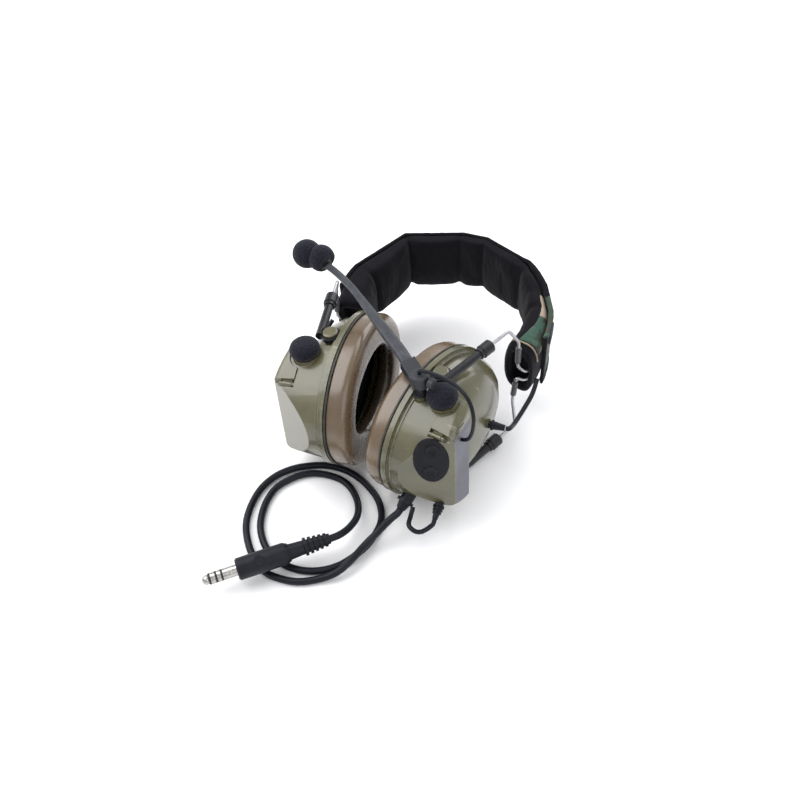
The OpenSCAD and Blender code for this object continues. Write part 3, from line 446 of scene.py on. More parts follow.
def printed_cloth(name, turn=(0.0, 0.0, 0.0), sand_from=None):
    """Woven cloth printed with soft-edged patches of green, brown, sand and black.

    With sand_from, the print turns to sand beyond that distance along the piece's own length.
    """
    m, place, uv = start_finish(name, 0.9, (0.07, 0.08, 0.04))
    weave = from_group(weave_group, uv, {"Threads": 4400.0})
    colour = PRINT_GROUND
    for shift, scale, level, tint in PRINT_LAYERS:
        moved = mapped(place, {"Location": shift, "Rotation": turn})
        patch = spots(moved, scale, 3.0, 0.55, 0.9)
        mask = ramp(patch, level - PRINT_SOFTNESS, level + PRINT_SOFTNESS)
        colour = mix_colour(mask, colour, tint)
    if sand_from is not None:
        edge = calc("ADD", part_of(uv, "Y"), times(patch, 0.012))
        sand = ramp(edge, sand_from, sand_from + 0.001)
        colour = mix_colour(sand, colour, (0.34, 0.27, 0.20))
        near_fold = calc("COMPARE", part_of(uv, "X"), 0.0285, 0.0075)
        green = times(near_fold, ramp(edge, sand_from + 0.001, sand_from))
        colour = mix_colour(green, colour, (0.016, 0.060, 0.040))
    faded = ramp(weave["Slubs"], 0.45, 0.85, 0.0, 0.30)
    return dress(m, {
        "Base Color": mix_colour(faded, colour, (0.16, 0.17, 0.14)),
        "Sheen Weight": 0.12, "Normal": bump(weave["Height"], 0.45, 0.00022)})


def tape(name, colour):
    """Narrow woven tape or hook-and-loop."""
    m, _, uv = start_finish(name, 0.85, colour)
    weave = from_group(weave_group, uv, {"Threads": 6400.0})
    slubs = ramp(weave["Slubs"], 0.35, 0.75)
    return dress(m, {"Base Color": mix_colour(slubs, toned(colour, 0.6), colour),
                     "Normal": bump(weave["Height"], 0.6, 0.0003)})


def metal(name, colour, roughness):
    """Drawn or turned metal with fine lines."""
    m, place, _ = start_finish(name, roughness, colour, 1.0)
    lines = spots(mapped(place, {"Scale": (900.0, 900.0, 40.0)}), 1.0, 3.0)
    return dress(m, {
        "Base Color": mix_colour(ramp(lines, 0.35, 0.65), toned(colour, 0.72), colour),
        "Roughness": ramp(lines, 0.35, 0.65, roughness, roughness + 0.14),
        "Normal": bump(lines, 0.15, 0.00005)})


def ringed(name):
    """Dull grey sleeve with fine rings across it; the ring crests are painted lighter and the grooves darker,
    painted light and shade of the rings.
    """
    m, place, _ = start_finish(name, 0.34, (0.10, 0.10, 0.108), 0.7)
    rings = waves(place, "Z", 5200.0)
    # painted shade: the colour goes dark in the grooves and light on the crests of the rings
    shades = ((0.05, 0.05, 0.055), (0.16, 0.16, 0.17))
    return dress(m, {"Base Color": mix_colour(ramp(rings, -0.6, 0.6), *shades),
                     "Normal": bump(rings, 0.6, 0.0003)})


# moulded looks: colour, roughness, colour and share of worn edges, grain, dust, coat, shine
MOULDED_LOOKS = {
    "olive_paint": ("olive", 0.36, (0.40, 0.39, 0.32), 0.55, 0.14, 0.12, 0.7, 0.5),
    "black_moulding": ("black", 0.32, (0.085, 0.09, 0.10), 0.5, 0.3, 0.08, 0.0, 0.34),
    "pad_rubber": ("black", 0.48, (0.06, 0.062, 0.07), 0.6, 0.35, 0.10, 0.0, 0.12),
    # the boxes' outer face: blue-grey as a painted reflection on the olive; its worn edges and dust are wear
    "box_panel": ("panel", 0.46, (0.42, 0.42, 0.42), 0.7, 0.35, 0.35, 0.0, 0.3),
    "plate_lip": ((0.020, 0.019, 0.014), 0.40, (0.16, 0.16, 0.13), 0.6, 0.3, 0.12, 0.0, 0.3),
    "grey_moulding": ((0.022, 0.024, 0.029), 0.38, (0.16, 0.165, 0.18), 0.6, 0.3, 0.12, 0.0, 0.3),
    "circuit_green": ((0.012, 0.080, 0.030), 0.35, (0.2, 0.25, 0.15), 0.6, 0.1, 0.12, 0.0, 0.3),
    "cell_jacket": ((0.30, 0.30, 0.32), 0.30, (0.5, 0.5, 0.5), 0.6, 0.1, 0.12, 0.0, 0.3),
    "insulator": ((0.018, 0.017, 0.017), 0.35, (0.5, 0.5, 0.45), 0.1, 0.1, 0.12, 0.0, 0.3),
}
LOOKS = {name: (moulded, *values) for name, values in MOULDED_LOOKS.items()} | {
    "soft_rubber": (rubber,),
    "ribbed_strip": (ribbed,),
    "coil_sleeve": (ringed,),
    "cushion_skin": (leather,),
    "open_foam": (foam, 1.0, 2.8, 0.09),
    # the foam inside the cups is the same foam at 0.4 of its colour: painted shade of the deep cup
    "cup_foam": (foam, 0.4, 2.0, 0.0),
    "liner_cloth": (brushed_cloth,),
    "camouflage_cloth": (printed_cloth,),
    "flap_cloth": (printed_cloth, (0.4, 1.1, 0.2), 0.036),
    "binding_tape": (tape, (0.40, 0.32, 0.22)),
    "hook_and_loop": (tape, (0.035, 0.040, 0.058)),
    "spring_steel": (metal, (0.46, 0.46, 0.48), 0.30),
    "plug_metal": (metal, (0.50, 0.49, 0.47), 0.18),
    "contact_brass": (metal, (0.72, 0.55, 0.28), 0.30),
}


def finish(name):
    """A finish, built the first time it is used."""
    if name not in FINISHES:
        maker, *values = LOOKS[name]
        FINISHES[name] = maker(name, *values)
    return FINISHES[name]


# ---- small helpers for meshes ----
MERGE_GRID, MERGE_CAD = 2e-7, 2e-6
BEND_STEPS = 7


def put_object(name, data):
    """A new object in the scene."""
    placed = bpy.data.objects.new(name, data)
    bpy.context.scene.collection.objects.link(placed)
    return placed


def mesh_from(name, bm):
    mesh = bpy.data.meshes.new(name)
    bm.to_mesh(mesh)
    bm.free()
    return mesh


def put_piece(name, bm, look, body, nodes=(), slot=None):
    """Turns a mesh into a piece that rides on a body and stands for its CAD nodes; its slot is not used."""
    mesh = mesh_from(name, bm)
    for face in mesh.polygons:
        face.use_smooth = True
    piece = put_object(name, mesh)
    mesh.materials.append(finish(look))
    if body:
        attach(piece, body)
    if nodes:
        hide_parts(*nodes)
    slot or look
    return piece


def wrap_grid(across, along, place, uv_size, matrix=None):
    """A grid wrapped into a tube, ring, band or turned form by place(u, v), merged and closed."""
    bm = bmesh.new()
    uv = bm.loops.layers.uv.new("UVMap")
    bmesh.ops.create_grid(bm, x_segments=across, y_segments=along, size=0.5)
    for face in bm.faces:
        for loop in face.loops:
            co = loop.vert.co
            loop[uv].uv = ((co.x + 0.5) * uv_size[0], (co.y + 0.5) * uv_size[1])
    for vert in bm.verts:
        vert.co = place(vert.co.x + 0.5, vert.co.y + 0.5)
    if matrix is not None:
        bmesh.ops.transform(bm, matrix=matrix, verts=bm.verts)
    bmesh.ops.remove_doubles(bm, verts=bm.verts, dist=MERGE_GRID)
    open_edges = [e for e in bm.edges if e.is_boundary]
    if open_edges:
        bmesh.ops.holes_fill(bm, edges=open_edges, sides=0)
    bmesh.ops.recalc_face_normals(bm, faces=bm.faces)
    return bm


def smooth_route(points, step):
    """Points along one smooth curve through the given ones, about step apart."""
    p = [Vector(q) for q in points]
    p = [p[0] * 2 - p[1]] + p + [p[-1] * 2 - p[-2]]
    route = []
    for k in range(1, len(p) - 2):
        a, b, c, d = p[k - 1:k + 3]
        count = max(2, round((c - b).length / step))
        for j in range(count):
            t = j / count
            route.append(0.5 * (2 * b + (c - a) * t + (2 * a - 5 * b + 4 * c - d) * t * t
                                + (3 * b - a - 3 * c + d) * t ** 3))
    return route + [p[-2]]


def rounded_corners(points, reach):
    """A route of straight runs whose corners bend smoothly, starting reach before each."""
    p = [Vector(q) for q in points]
    route = [p[0]]
    for k in range(1, len(p) - 1):
        a = p[k] + (p[k - 1] - p[k]).normalized() * reach
        b = p[k] + (p[k + 1] - p[k]).normalized() * reach
        for j in range(BEND_STEPS + 1):
            t = j / BEND_STEPS
            route.append((1 - t) ** 2 * a + 2 * t * (1 - t) * p[k] + t * t * b)
    return route + [p[-1]]


def route_length(route):
    return sum((b - a).length for a, b in zip(route, route[1:]))


def tube(route, radius, sides, up=(0, 0, 1), section=None, swell=None):
    """A tube or strip swept along a route; section(angle) gives its outline in radii."""
    frames, u = [], Vector(up)
    for k in range(len(route)):
        t = (route[min(k + 1, len(route) - 1)] - route[max(k - 1, 0)]).normalized()
        u = (u - t * u.dot(t)).normalized()
        frames.append((route[k], u.copy(), t.cross(u)))
    last = len(route) - 1

    def place(s, v):
        k = min(last, round(v * last))
        at, high, wide = frames[k]
        angle = tau * s
        a, b = section(angle) if section else (cos(angle), sin(angle))
        r = radius * (swell(k / last) if swell else 1.0)
        return at + wide * (a * r) + high * (b * r)

    return wrap_grid(sides, last, place, (radius * tau, route_length(route)))


def lathe(profile, segments, pore, seed, matrix):
    """A turned form about z, from the bottom of its profile to the top, with pores in its skin."""
    def place(u, v):
        x = v * (len(profile) - 1)
        k = min(int(x), len(profile) - 2)
        (r0, z0), (r1, z1) = profile[k:k + 2]
        r, z = r0 + (r1 - r0) * (x - k), z0 + (z1 - z0) * (x - k)
        a = tau * u
        p = Vector((r * cos(a), r * sin(a), z))
        if r > 0.01:
            p += p.normalized() * pore * noise.noise(p * 1.9 + Vector((seed, 0, 0)))
        return p

    return wrap_grid(segments, (len(profile) - 1) * 3, place, (0.02, 0.02), matrix)


# ---- cords ----
GLAND_AT = Vector((11, -49, -20))
GLAND_DIR = Vector((-0.1, -0.86, -0.42)).normalized()
JUMPER_AT = Vector((30, -42, -22))
JUMPER_DIR = Vector((0.25, -0.93, -0.26)).normalized()
LINK_AT = Vector((29.4, 18, -7))
LINK_DIR = Vector((0.86, 0.26, -0.1)).normalized()
PLUG_TAIL = Vector((-5, -92, 14))
PLUG_DIR = Vector((-0.73, -0.683, -0.03)).normalized()
FLOOR_Z = 2.35
# points of the lead from the gland to the plug; where no height is given, it lies on the floor
LEAD = [(25, -67, 17), (19.5, -75, 10.5), (15, -85, 7.4), (11.7, -97, 7), (6.3, -107.8, 5.1),
        (-4, -115.5), (-14, -121), (-25, -123), (-36, -122), (-49, -114), (-59, -103), (-65, -92),
        (-68, -79), (-68, -66), (-64, -54), (-57, -45), (-49, -39), (-39, -34), (-28, -32), (-17, -33),
        (-6, -37), (5, -44), (12, -52), (16, -61), (16.5, -70), (15, -81), (10, -93), (4, -102),
        (-5, -109), (-16, -113), (-28, -113), (-39, -109), (-47, -103), (-54, -94), (-58, -84),
        (-60, -73), (-59, -62), (-54, -53), (-48, -46.5), (-40, -42), (-30, -40), (-20, -41),
        (-11, -46, 2.8), (-3, -55, 4), (1.5, -66, 6.5), (1.5, -78, 10)]
GLAND_REACH, RELIEF_REACH = 8.8, 11.7


def on_right_cup(points):
    return [CUP[1] @ Vector(p) for p in points]


def lay_cord(name, route, radius, sides, body, node, link=None):
    """A cord along a route; when link is given, the cord's placement is baked into its mesh, and the two
    bodies that link names are not used.
    """
    piece = put_piece(f"{name}_cord", tube(route, radius, sides), "soft_rubber", body, [node],
                      "black_rubber")
    if link:
        tuple(route[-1])
        tuple(route[0])
        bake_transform(piece)
    tuple(route[0])
    route_length(route)
    [tuple(p) for p in route]


class HEADSET_OT_down_lead(bpy.types.Operator):
    """Lay the lead from the right cup round its loops to the plug"""

    bl_idname = "headset.down_lead"
    bl_label = "Down lead"

    def execute(self, context):
        start = GLAND_AT + GLAND_DIR * GLAND_REACH
        middle = [world((*p, FLOOR_Z)[:3]) for p in LEAD]
        tail = [world(PLUG_TAIL - PLUG_DIR * 5), world(PLUG_TAIL + PLUG_DIR * 7)]
        points = on_right_cup([start, start + GLAND_DIR * 3.8]) + middle + tail
        route = smooth_route(points, 0.0035)
        for p in route:
            p.z = max(p.z, FLOOR_Z / 1000)
        radius = sizes().lead_diameter / 2
        lay_cord("down_lead", route, radius, 16, "right_cup", "down_lead", None)
        return {"FINISHED"}


class HEADSET_OT_small_cables(bpy.types.Operator):
    """Make the jumper, the microphone cable and the two link cables"""

    bl_idname = "headset.small_cables"
    bl_label = "Small cables"

    def execute(self, context):
        start = GLAND_AT + GLAND_DIR * 5 + Vector((6.8, 0, 0))
        end = JUMPER_AT + JUMPER_DIR * RELIEF_REACH
        jumper = [start, start + Vector((1.5, -5, -2)), (22, -66, -24), (30, -66, -26),
                  end + JUMPER_DIR * 4, end]
        self.lay("jumper", on_right_cup(jumper), 0.0015, "right_cup", "jumper_cable")
        mic = [(8, -17, 58.6), (8, -17, 60.2), (10, -16.8, 61.6), (15, -15.5, 61.1), (24, -14, 59.5),
               (33.2, -14.4, 57.6), (42.8, -17.5, 54), (47.4, -20.5, 46), (47, -22, 35), (44, -22.5, 26),
               (40, -22.5, 22.5), (37.9, -22.5, 22)]
        self.lay("microphone", on_right_cup(mic), 0.0012, "right_cup", "boom_cable")
        ends = (((-75, 36, 36), (-76, 50, 38), (-73, 60, 44)),
                ((77, 22, 36), (79.4, 36.5, 38), (81, 48, 40), (81, 57, 46)))
        for i in (0, 1):
            first = [CUP[i] @ (LINK_AT + LINK_DIR * RELIEF_REACH), CUP[i] @ (LINK_AT + LINK_DIR * 14)]
            self.lay(f"{SIDES[i]}_link", first + [world(p) for p in ends[i]], 0.0016, None,
                     f"{SIDES[i]}_link_cable", ("headband", f"{SIDES[i]}_stirrup"))
        return {"FINISHED"}

    def lay(self, name, points, radius, body, node, link=None):
        """One cable with both of its ends in the headset."""
        cut = [points[0]]
        for a, b in zip(points, points[1:]):
            cut += [a.lerp(b, 0.25), a.lerp(b, 0.75)]
        route = smooth_route(cut + [points[-1]], 0.0022)
        lay_cord(name, route, radius, 12, body, node, link)


# ---- wires ----
# corners of the padded band along the arch: angle in degrees, millimetres outside its circle
CORNERS = ((18, 0), (36, 0), (45, 0), (54, 0.5), (84, -0.5), (98, -1.2), (131, 2.6), (166, 0))


def bow(i, f):
    """Route of a spring wire from inside the leg to the arch."""
    s = SIDE[i]
    rail = [LEG[i] @ Vector((LEG_OFFSET, y, f * LEG_Z)) for y in (17, 55)]
    return rail + [world((s * (CROSS_X - 1), CROSS_Y[i], CROSS_Z + f * CROSS_TOP)),
                   world((s * CROSS_X, CROSS_Y[i], CROSS_Z + f * CROSS_END)),
                   world((2.7 + s * (CROSS_X + RISE.x), CROSS_Y[i] + RISE.y,
                          CROSS_Z + RISE.z + f * WIRE_SPREAD)),
                   band_point(s * WIRE_ARCH_R, -10, f * WIRE_SPREAD),
                   band_point(s * WIRE_ARCH_R, -1, f * WIRE_SPREAD)]


def band_point(x, y, z):
    """A point given in millimetres in the tilted plane of the headband."""
    return world((ARCH[0] + x, ARCH[1] + y * cos(BAND_TILT) - z * sin(BAND_TILT),
                  BAND_Z + y * sin(BAND_TILT) + z * cos(BAND_TILT)))


def facet(angle):
    """How far the padded band lies inside its circle: it is flat from corner to corner."""
    for (low, low_out), (high, high_out) in zip(CORNERS, CORNERS[1:]):
        if low <= angle <= high:
            first = sin(radians(high - angle)) / (ARCH_R + low_out)
            second = sin(radians(angle - low)) / (ARCH_R + high_out)
            return ARCH_R - sin(radians(high - low)) / (first + second)
    return 0.0


def arch_point(r, angle, z):
    """A point of the headband by its radius, its angle from the right end and its height."""
    a = radians(angle)
    r -= facet(angle)
    return band_point(r * cos(a), r * sin(a), z)


class HEADSET_OT_spring_wires(bpy.types.Operator):
    """Bend the two steel spring wires that carry the headband"""

    bl_idname = "headset.spring_wires"
    bl_label = "Spring wires"

    def execute(self, context):
        radius = sizes().wire_diameter / 2
        for f, name in ((1, "front"), (-1, "back")):
            arc = [arch_point(WIRE_ARCH_R, a, f * WIRE_SPREAD) for a in range(4, 177, 4)]
            right = rounded_corners(bow(1, f), WIRE_BEND)
            left = rounded_corners(bow(0, f), WIRE_BEND)
            put_piece(f"{name}_wire", tube(right + arc + left[::-1], radius, 14), "spring_steel",
                      "headband", [f"{name}_spring_wire"])
        return {"FINISHED"}


# ---- moulded pieces ----
# each kind of CAD piece with its finish and its slot
MOULDED = {kind: (look, slot) for look, slot, kinds in (
    ("olive_paint", "olive_plastic", "shell pivot_caps battery_lid"),
    ("black_moulding", "black_plastic", "plate speaker mic_capsule front_leg back_leg leg_collars "
                                        "boom_bracket boom_mic"),
    ("pad_rubber", "black_plastic", "button_pad upper_button lower_button"),
    ("grey_moulding", "grey_plastic", "boom_hub boom_knob"),
    ("soft_rubber", "black_rubber", "link_relief cable_gland jumper_relief plug_boot plug_body"),
    ("coil_sleeve", "black_plastic", "wire_sleeves"),
    ("insulator", "black_plastic", "plug_insulators"),
    ("circuit_green", "board", "circuit_board"),
    ("cell_jacket", "cell_jacket", "battery"),
    ("contact_brass", "contact_brass", "battery_contact"),
    ("spring_steel", "spring_steel", "lid_pin"),
    ("plug_metal", "plug_metal", "plug_pin"),
) for kind in kinds.split()}
SHARP_EDGE = radians(27)
FACET_SLOPE, FACET_LEAN, FACE_TILT = radians(35.4), radians(7.0), radians(8.0)
FACE_BAND, FACE_ALIKE = 1.6, 0.93
GROOVE_X, LIP_X = -1.15, -1.85


def kind_of(node):
    """Name of a node without its side."""
    for side in SIDES:
        if node.startswith(side + "_"):
            return node[len(side) + 1:]
    return node


def face_normal():
    """Direction out of the outer face of a cup's box, in the cup's frame."""
    run = atan2(sin(FACET_LEAN), cos(FACET_SLOPE) * cos(FACET_LEAN))
    across = Vector((0, cos(run), -sin(run)))
    return (Vector((1, 0, 0)) * cos(FACE_TILT) + across * sin(FACE_TILT)).normalized()


class HEADSET_OT_moulded_pieces(bpy.types.Operator):
    """Give every moulded or turned piece clean edges and its own finish"""

    bl_idname = "headset.moulded_pieces"
    bl_label = "Moulded and metal pieces"

    def execute(self, context):
        for body, members in frame["record"]["behaviour"]["bodies"].items():
            for name in members:
                if kind_of(name) in MOULDED:
                    self.one_piece(name, body)
        return {"FINISHED"}

    def one_piece(self, name, body):
        """A CAD piece as it is, with the finishes of its kind."""
        kind = kind_of(name)
        look, slot = MOULDED[kind]
        bm = bmesh.new()
        bm.from_mesh(frame["nodes"][name].data)
        bmesh.ops.remove_doubles(bm, verts=bm.verts, dist=MERGE_CAD)
        for edge in bm.edges:
            edge.smooth = len(edge.link_faces) == 2 and edge.calc_face_angle(0) < SHARP_EDGE
        extra = ()
        if kind == "shell":
            extra = self.mark_panel(bm, CUP[SIDES.index(name.split("_")[0])])
        if kind == "plate":
            extra = self.mark_plate(bm, CUP[SIDES.index(name.split("_")[0])])
        piece = put_piece(f"{name}_dressed", bm, look, body, [name], slot)
        for other in extra:
            piece.data.materials.append(finish(other))
        even = piece.modifiers.new("even_normals", "WEIGHTED_NORMAL")
        even.keep_sharp = True

    def mark_panel(self, bm, cup):
        """Marks the outer face of the box for its blue-grey finish, a painted reflection of bluish light on
        the olive.
        """
        flat, back = face_normal(), cup.inverted()
        out = (cup.to_3x3() @ flat).normalized()
        for face in bm.faces:
            near = back @ face.calc_center_median()
            level = abs(flat.dot(near) - FACE_DIST) < FACE_BAND
            if near.y < 0 and level and face.normal.dot(out) > FACE_ALIKE:
                face.material_index = 1
        return ("box_panel",)

    def mark_plate(self, bm, cup):
        """Marks the painted edge and the lip of the seal plate; the groove between them stays black."""
        back = cup.inverted()
        for face in bm.faces:
            depth = (back @ face.calc_center_median()).x
            face.material_index = 1 if depth > GROOVE_X else 2 if depth < LIP_X else 0
        return ("olive_paint", "plate_lip")


BOOM = [(1.5, -14.4, 54.6), (-12.9, -7, 59.2), (-29.3, 0.4, 63), (-44.3, 7, 66.7), (-55.8, 12, 70.1),
        (-67, 16.3, 73.4), (-79.5, 19.8, 76.8), (-89.5, 21.2, 80)]
BOOM_TIP = Vector(BOOM[-1])
BOOM_TIP_DIR = (BOOM_TIP - Vector(BOOM[-2])).normalized()


class HEADSET_OT_boom_arm(bpy.types.Operator):
    """Make the flat bendable boom with its fine ribs"""

    bl_idname = "headset.boom_arm"
    bl_label = "Boom arm"

    def execute(self, context):
        points = on_right_cup(BOOM)
        root = (points[1] - points[0]).normalized()
        points[0] = points[0] + root * 0.0034
        line = smooth_route(points, 0.0016)
        up = (CUP[1].to_3x3() @ Vector((0.2, 0, 1))).normalized()

        def strip(angle):
            return signed_pow(cos(angle), 0.55), signed_pow(sin(angle), 0.55) * 0.51

        def width(t):
            return 1.1 - 0.4 * held(t, 0.3, 0.65)

        bm = tube(line, 0.0035, 24, up, strip, width)
        put_piece("boom_strip", bm, "ribbed_strip", "boom", ["boom_arm"], "black_plastic")
        return {"FINISHED"}


# ---- soft pieces ----
STRAIGHT_FROM = 0.75  # from here round the roll, its outer side next to the seal plate is straight


def cushion_point(i, u, v, wrinkle):
    """A point of an ear cushion's skin in the cup's frame; u runs round the roll, v round the ear."""
    a, e = tau * v, tau * u
    wide = (SEAM_A - CUSHION_OUT - OPENING_A) / 2
    wide_side = (SEAM_B - CUSHION_OUT - OPENING_B) / 2
    c, s = cos(e), sin(e)
    cu, su = signed_pow(c, 0.62), signed_pow(s, 0.80)
    if u > STRAIGHT_FROM:
        run = (1 - u) / (1 - STRAIGHT_FROM)
        side = min(1.0, run / 0.7)
        cu = (1 - 0.035 * side * side) * min(1.0, (1 - run) / 0.3)
        su = -side
    near_plate = max(0.0, -s) ** 6
    inner = max(0.0, -c)
    gather = wrinkle * inner ** 2 * sin(30 * a + 2.2 * sin(3 * a)) * (1 - near_plate)
    low = Vector((cos(a) * 2.2, sin(a) * 2.2, cos(e) * 0.5 + 9 * i))
    dent = (0.35 * noise.noise(low) - 0.2) * (1 - near_plate)
    swell = 1 + (gather + dent) / 9.0
    x = -PLATE_T - CUSHION_T / 2 - (CUSHION_T / 2) * su * (swell if s > 0 else 1) - 0.02
    return Vector((x, (OPENING_A + wide * (1 + cu * swell)) * cos(a),
                   (OPENING_B + wide_side * (1 + cu * swell)) * sin(a)))


class HEADSET_OT_ear_cushions(bpy.types.Operator):
    """Fill the two ear cushions"""

    bl_idname = "headset.ear_cushions"
    bl_label = "Ear cushions"

    def execute(self, context):
        wrinkle = sizes().cushion_wrinkle * 1000
        for i, side in enumerate(SIDES):
            bm = wrap_grid(64, 220, lambda u, v: cushion_point(i, u, v, wrinkle), (0.06, 0.29), CUP[i])
            put_piece(f"{side}_ear_cushion", bm, "cushion_skin", f"{side}_cup", [f"{side}_cushion"])
        return {"FINISHED"}


NEAR_R, FAR_R = 8.9, 9.6
FOAM_FRONT, FOAM_RIM, FOAM_BACK, DISH = -0.6, 2.6, 10.0, 0.66


class HEADSET_OT_foams(bpy.types.Operator):
    """Make the windscreens and the foam inside the cups"""

    bl_idname = "headset.foams"
    bl_label = "Foams"

    def execute(self, context):
        pore = sizes().foam_pore * 1000
        ball = [(0, 0.35), (4, 0.35), (7.4, 0.4), (8.7, 1.2), (9.5, 2.6), (9.8, 4.2), (9.55, 5.9), (8.8, 7.5),
                (7.5, 8.8), (5.8, 9.75), (3.8, 10.3), (1.8, 10.55), (0, 10.6)]
        for i, side in enumerate(SIDES):
            bm = lathe(ball, 72, pore, 3.0 * i, CUP[i] @ Matrix.Translation(MIC_AT))
            put_piece(f"{side}_windscreen", bm, "open_foam", f"{side}_cup", [f"{side}_mic_foam"])
            put_piece(f"{side}_cup_foam", self.cup_foam(i, pore), "cup_foam", f"{side}_cup",
                      [f"{side}_foam_liner"], "open_foam")
        put_piece("boom_windscreen", self.twin_ball(pore), "open_foam", "boom", ["boom_foam"])
        return {"FINISHED"}

    def twin_ball(self, pore):
        """The boom's windscreen: two balls that run into each other, cut flat where the boom enters."""
        near = BOOM_TIP + Vector((-5.6, 1.7, 2.7))
        far = near + Vector((-10.6, -1.6, 1.1))
        axis = (far - near).normalized()
        apart = (far - near).length

        def place(u, v):
            """Rings crowd towards both poles, so that these stay round."""
            z = -NEAR_R + (apart + NEAR_R + FAR_R) * (0.5 - 0.5 * cos(pi * v))
            low = max(0.0, NEAR_R ** 2 - z * z)
            high = max(0.0, FAR_R ** 2 - (z - apart) ** 2)
            r = sqrt(max(low, high))
            turn = Matrix.Rotation(tau * u, 3, axis)
            side = turn @ axis.orthogonal().normalized()
            p = near + axis * z + side * r
            p += (p - near.lerp(far, 0.5)).normalized() * pore * noise.noise(p * 1.9)
            sunk = 1.0 - (p - BOOM_TIP).dot(BOOM_TIP_DIR)
            return p + BOOM_TIP_DIR * max(0.0, sunk)

        return wrap_grid(84, 96, place, (0.02, 0.02), CUP[1])

    def cup_foam(self, i, pore):
        """A sheet of foam dished over the speaker."""
        def place(u, v):
            a = tau * u
            if v < 0.5:
                f, x = 2 * v, FOAM_BACK
            else:
                f = 2 * (1 - v)
                x = FOAM_RIM if f > DISH else FOAM_FRONT + 1.4 * (f / DISH) ** 3
            f = min(1.0, f * 1.04)
            reach = Vector((CAVITY_A - 0.6, CAVITY_B - 0.6))
            if x < FOAM_RIM - 0.1:
                reach = Vector((OPENING_A - 0.4, OPENING_B - 0.4)) / DISH / 1.04
            p = Vector((x, reach.x * f * cos(a), reach.y * f * sin(a)))
            if v >= 0.5:
                p.x += 0.9 * noise.noise(Vector((p.y * 0.16, p.z * 0.16, 4.0 * i)))
                p.x += pore * noise.noise(p * 1.7)
            return p

        return wrap_grid(110, 70, place, (0.1, 0.1), CUP[i])


CREASES = (22, 52, 84, 100, 131, 166)
CREASE_DEPTH = (0.8, 0.7, 0.35, 0.8, 1.3, 1.0)
LINER_LOW, LINER_HIGH = -14.0, 194.0
# degrees from the crown: where the ends start to round off, over how many, and the full end thickness
ROUND_FROM, ROUND_OVER, THICK_AT = 97, 16, 103
JOINED = (50.0, 60.0)  # the angles over which the liner comes to meet the cover's edge
LINER_OUT = ARCH_R - COVER_T - 0.3


def liner_fold(a):
    """How far a fold across the liner is pressed in at an angle of the arch, from 0 to 1."""
    return max(d * exp(-((a - c) / 2.2) ** 2) for c, d in zip(CREASES, CREASE_DEPTH))


def liner_pillow(a):
    """Swelling of the liner between its folds, from 0 to 1."""
    edges = (LINER_LOW,) + CREASES + (LINER_HIGH,)
    for low, high in zip(edges, edges[1:]):
        if low <= a <= high:
            return sin(pi * (a - low) / (high - low)) ** 0.8
    return 0.0


def layer_at(u):
    """Whether u is on the outer layer of a doubled sheet, and how far across the sheet it is."""
    return (True, 2 * u) if u < 0.5 else (False, 2 - 2 * u)


def on_rim(w, v):
    """True on the outer rows of a doubled sheet, where its two layers meet."""
    return min(w, 1 - w, v, 1 - v) < 1e-6


def liner_skin(a, e, lift=0.0, shrink=1.0):
    """A point of the liner's skin; e runs round it from its outer side over its front edge."""
    ripple, crease = sizes().cloth_ripple * 1000, sizes().crease_depth * 1000
    over = max(0.0, abs(a - 90) - ROUND_FROM) / ROUND_OVER
    end = sqrt(max(0.02, 1 - over * over))
    thick = LINER_T + (LINER_END_T - LINER_T) * (abs(a - 90) / THICK_AT) ** 2
    thick = (thick - crease * liner_fold(a) + 1.2 * liner_pillow(a)) * end
    half = (COVER_W / 2 - 0.4) * (0.5 + 0.5 * end) - 0.5 * liner_fold(a)
    joined = held(a, *JOINED) if cos(e) > 0 else 0.0
    squareness = 0.66 - 0.36 * joined
    x = signed_pow(cos(e), squareness)
    z = signed_pow(sin(e), squareness) * half * shrink
    inner = max(0.0, -cos(e))
    wave = noise.noise(Vector((a * 0.10, z * 0.045, 2.0)))
    fine = noise.noise(Vector((a * 0.42, z * 0.15, 5.0)))
    r = LINER_OUT - thick / 2 + x * (thick / 2 * shrink + lift + 1.3 * joined)
    r -= inner * ripple * (1.9 * wave + 0.7 * fine)
    z += (0.8 * (1 - inner) * wave + lift * abs(sin(e))) * (1 if z > 0 else -1)
    return arch_point(r, a, z)


class HEADSET_OT_headband_liner(bpy.types.Operator):
    """Make the padded cloth liner of the headband with its open ends"""

    bl_idname = "headset.headband_liner"
    bl_label = "Headband liner"

    def execute(self, context):
        pocket = 0.06

        def place(u, v):
            inside = max(0.0, 1 - min(v, 1 - v) / pocket)
            a = LINER_HIGH - (LINER_HIGH - LINER_LOW) * held(v, pocket, 1 - pocket)
            inward = 9 * max(0.0, inside - 0.25) - 0.8 * sin(pi * min(1.0, inside * 3))
            a += inward if v > 0.5 else -inward
            return liner_skin(a, tau * u, 0.0, 1 - 0.30 * min(1.0, inside * 2.5))

        bm = wrap_grid(64, 340, place, (0.11, 0.29))
        put_piece("padded_liner", bm, "liner_cloth", "headband", ["headband_liner"])
        return {"FINISHED"}


COVER_ENDS = (-1.0, 181.0)
COVER_UV = (0.104, 0.25)
BLACK_FRONT, BLACK_BACK = 27, 12  # the angles from which the turned edges are black


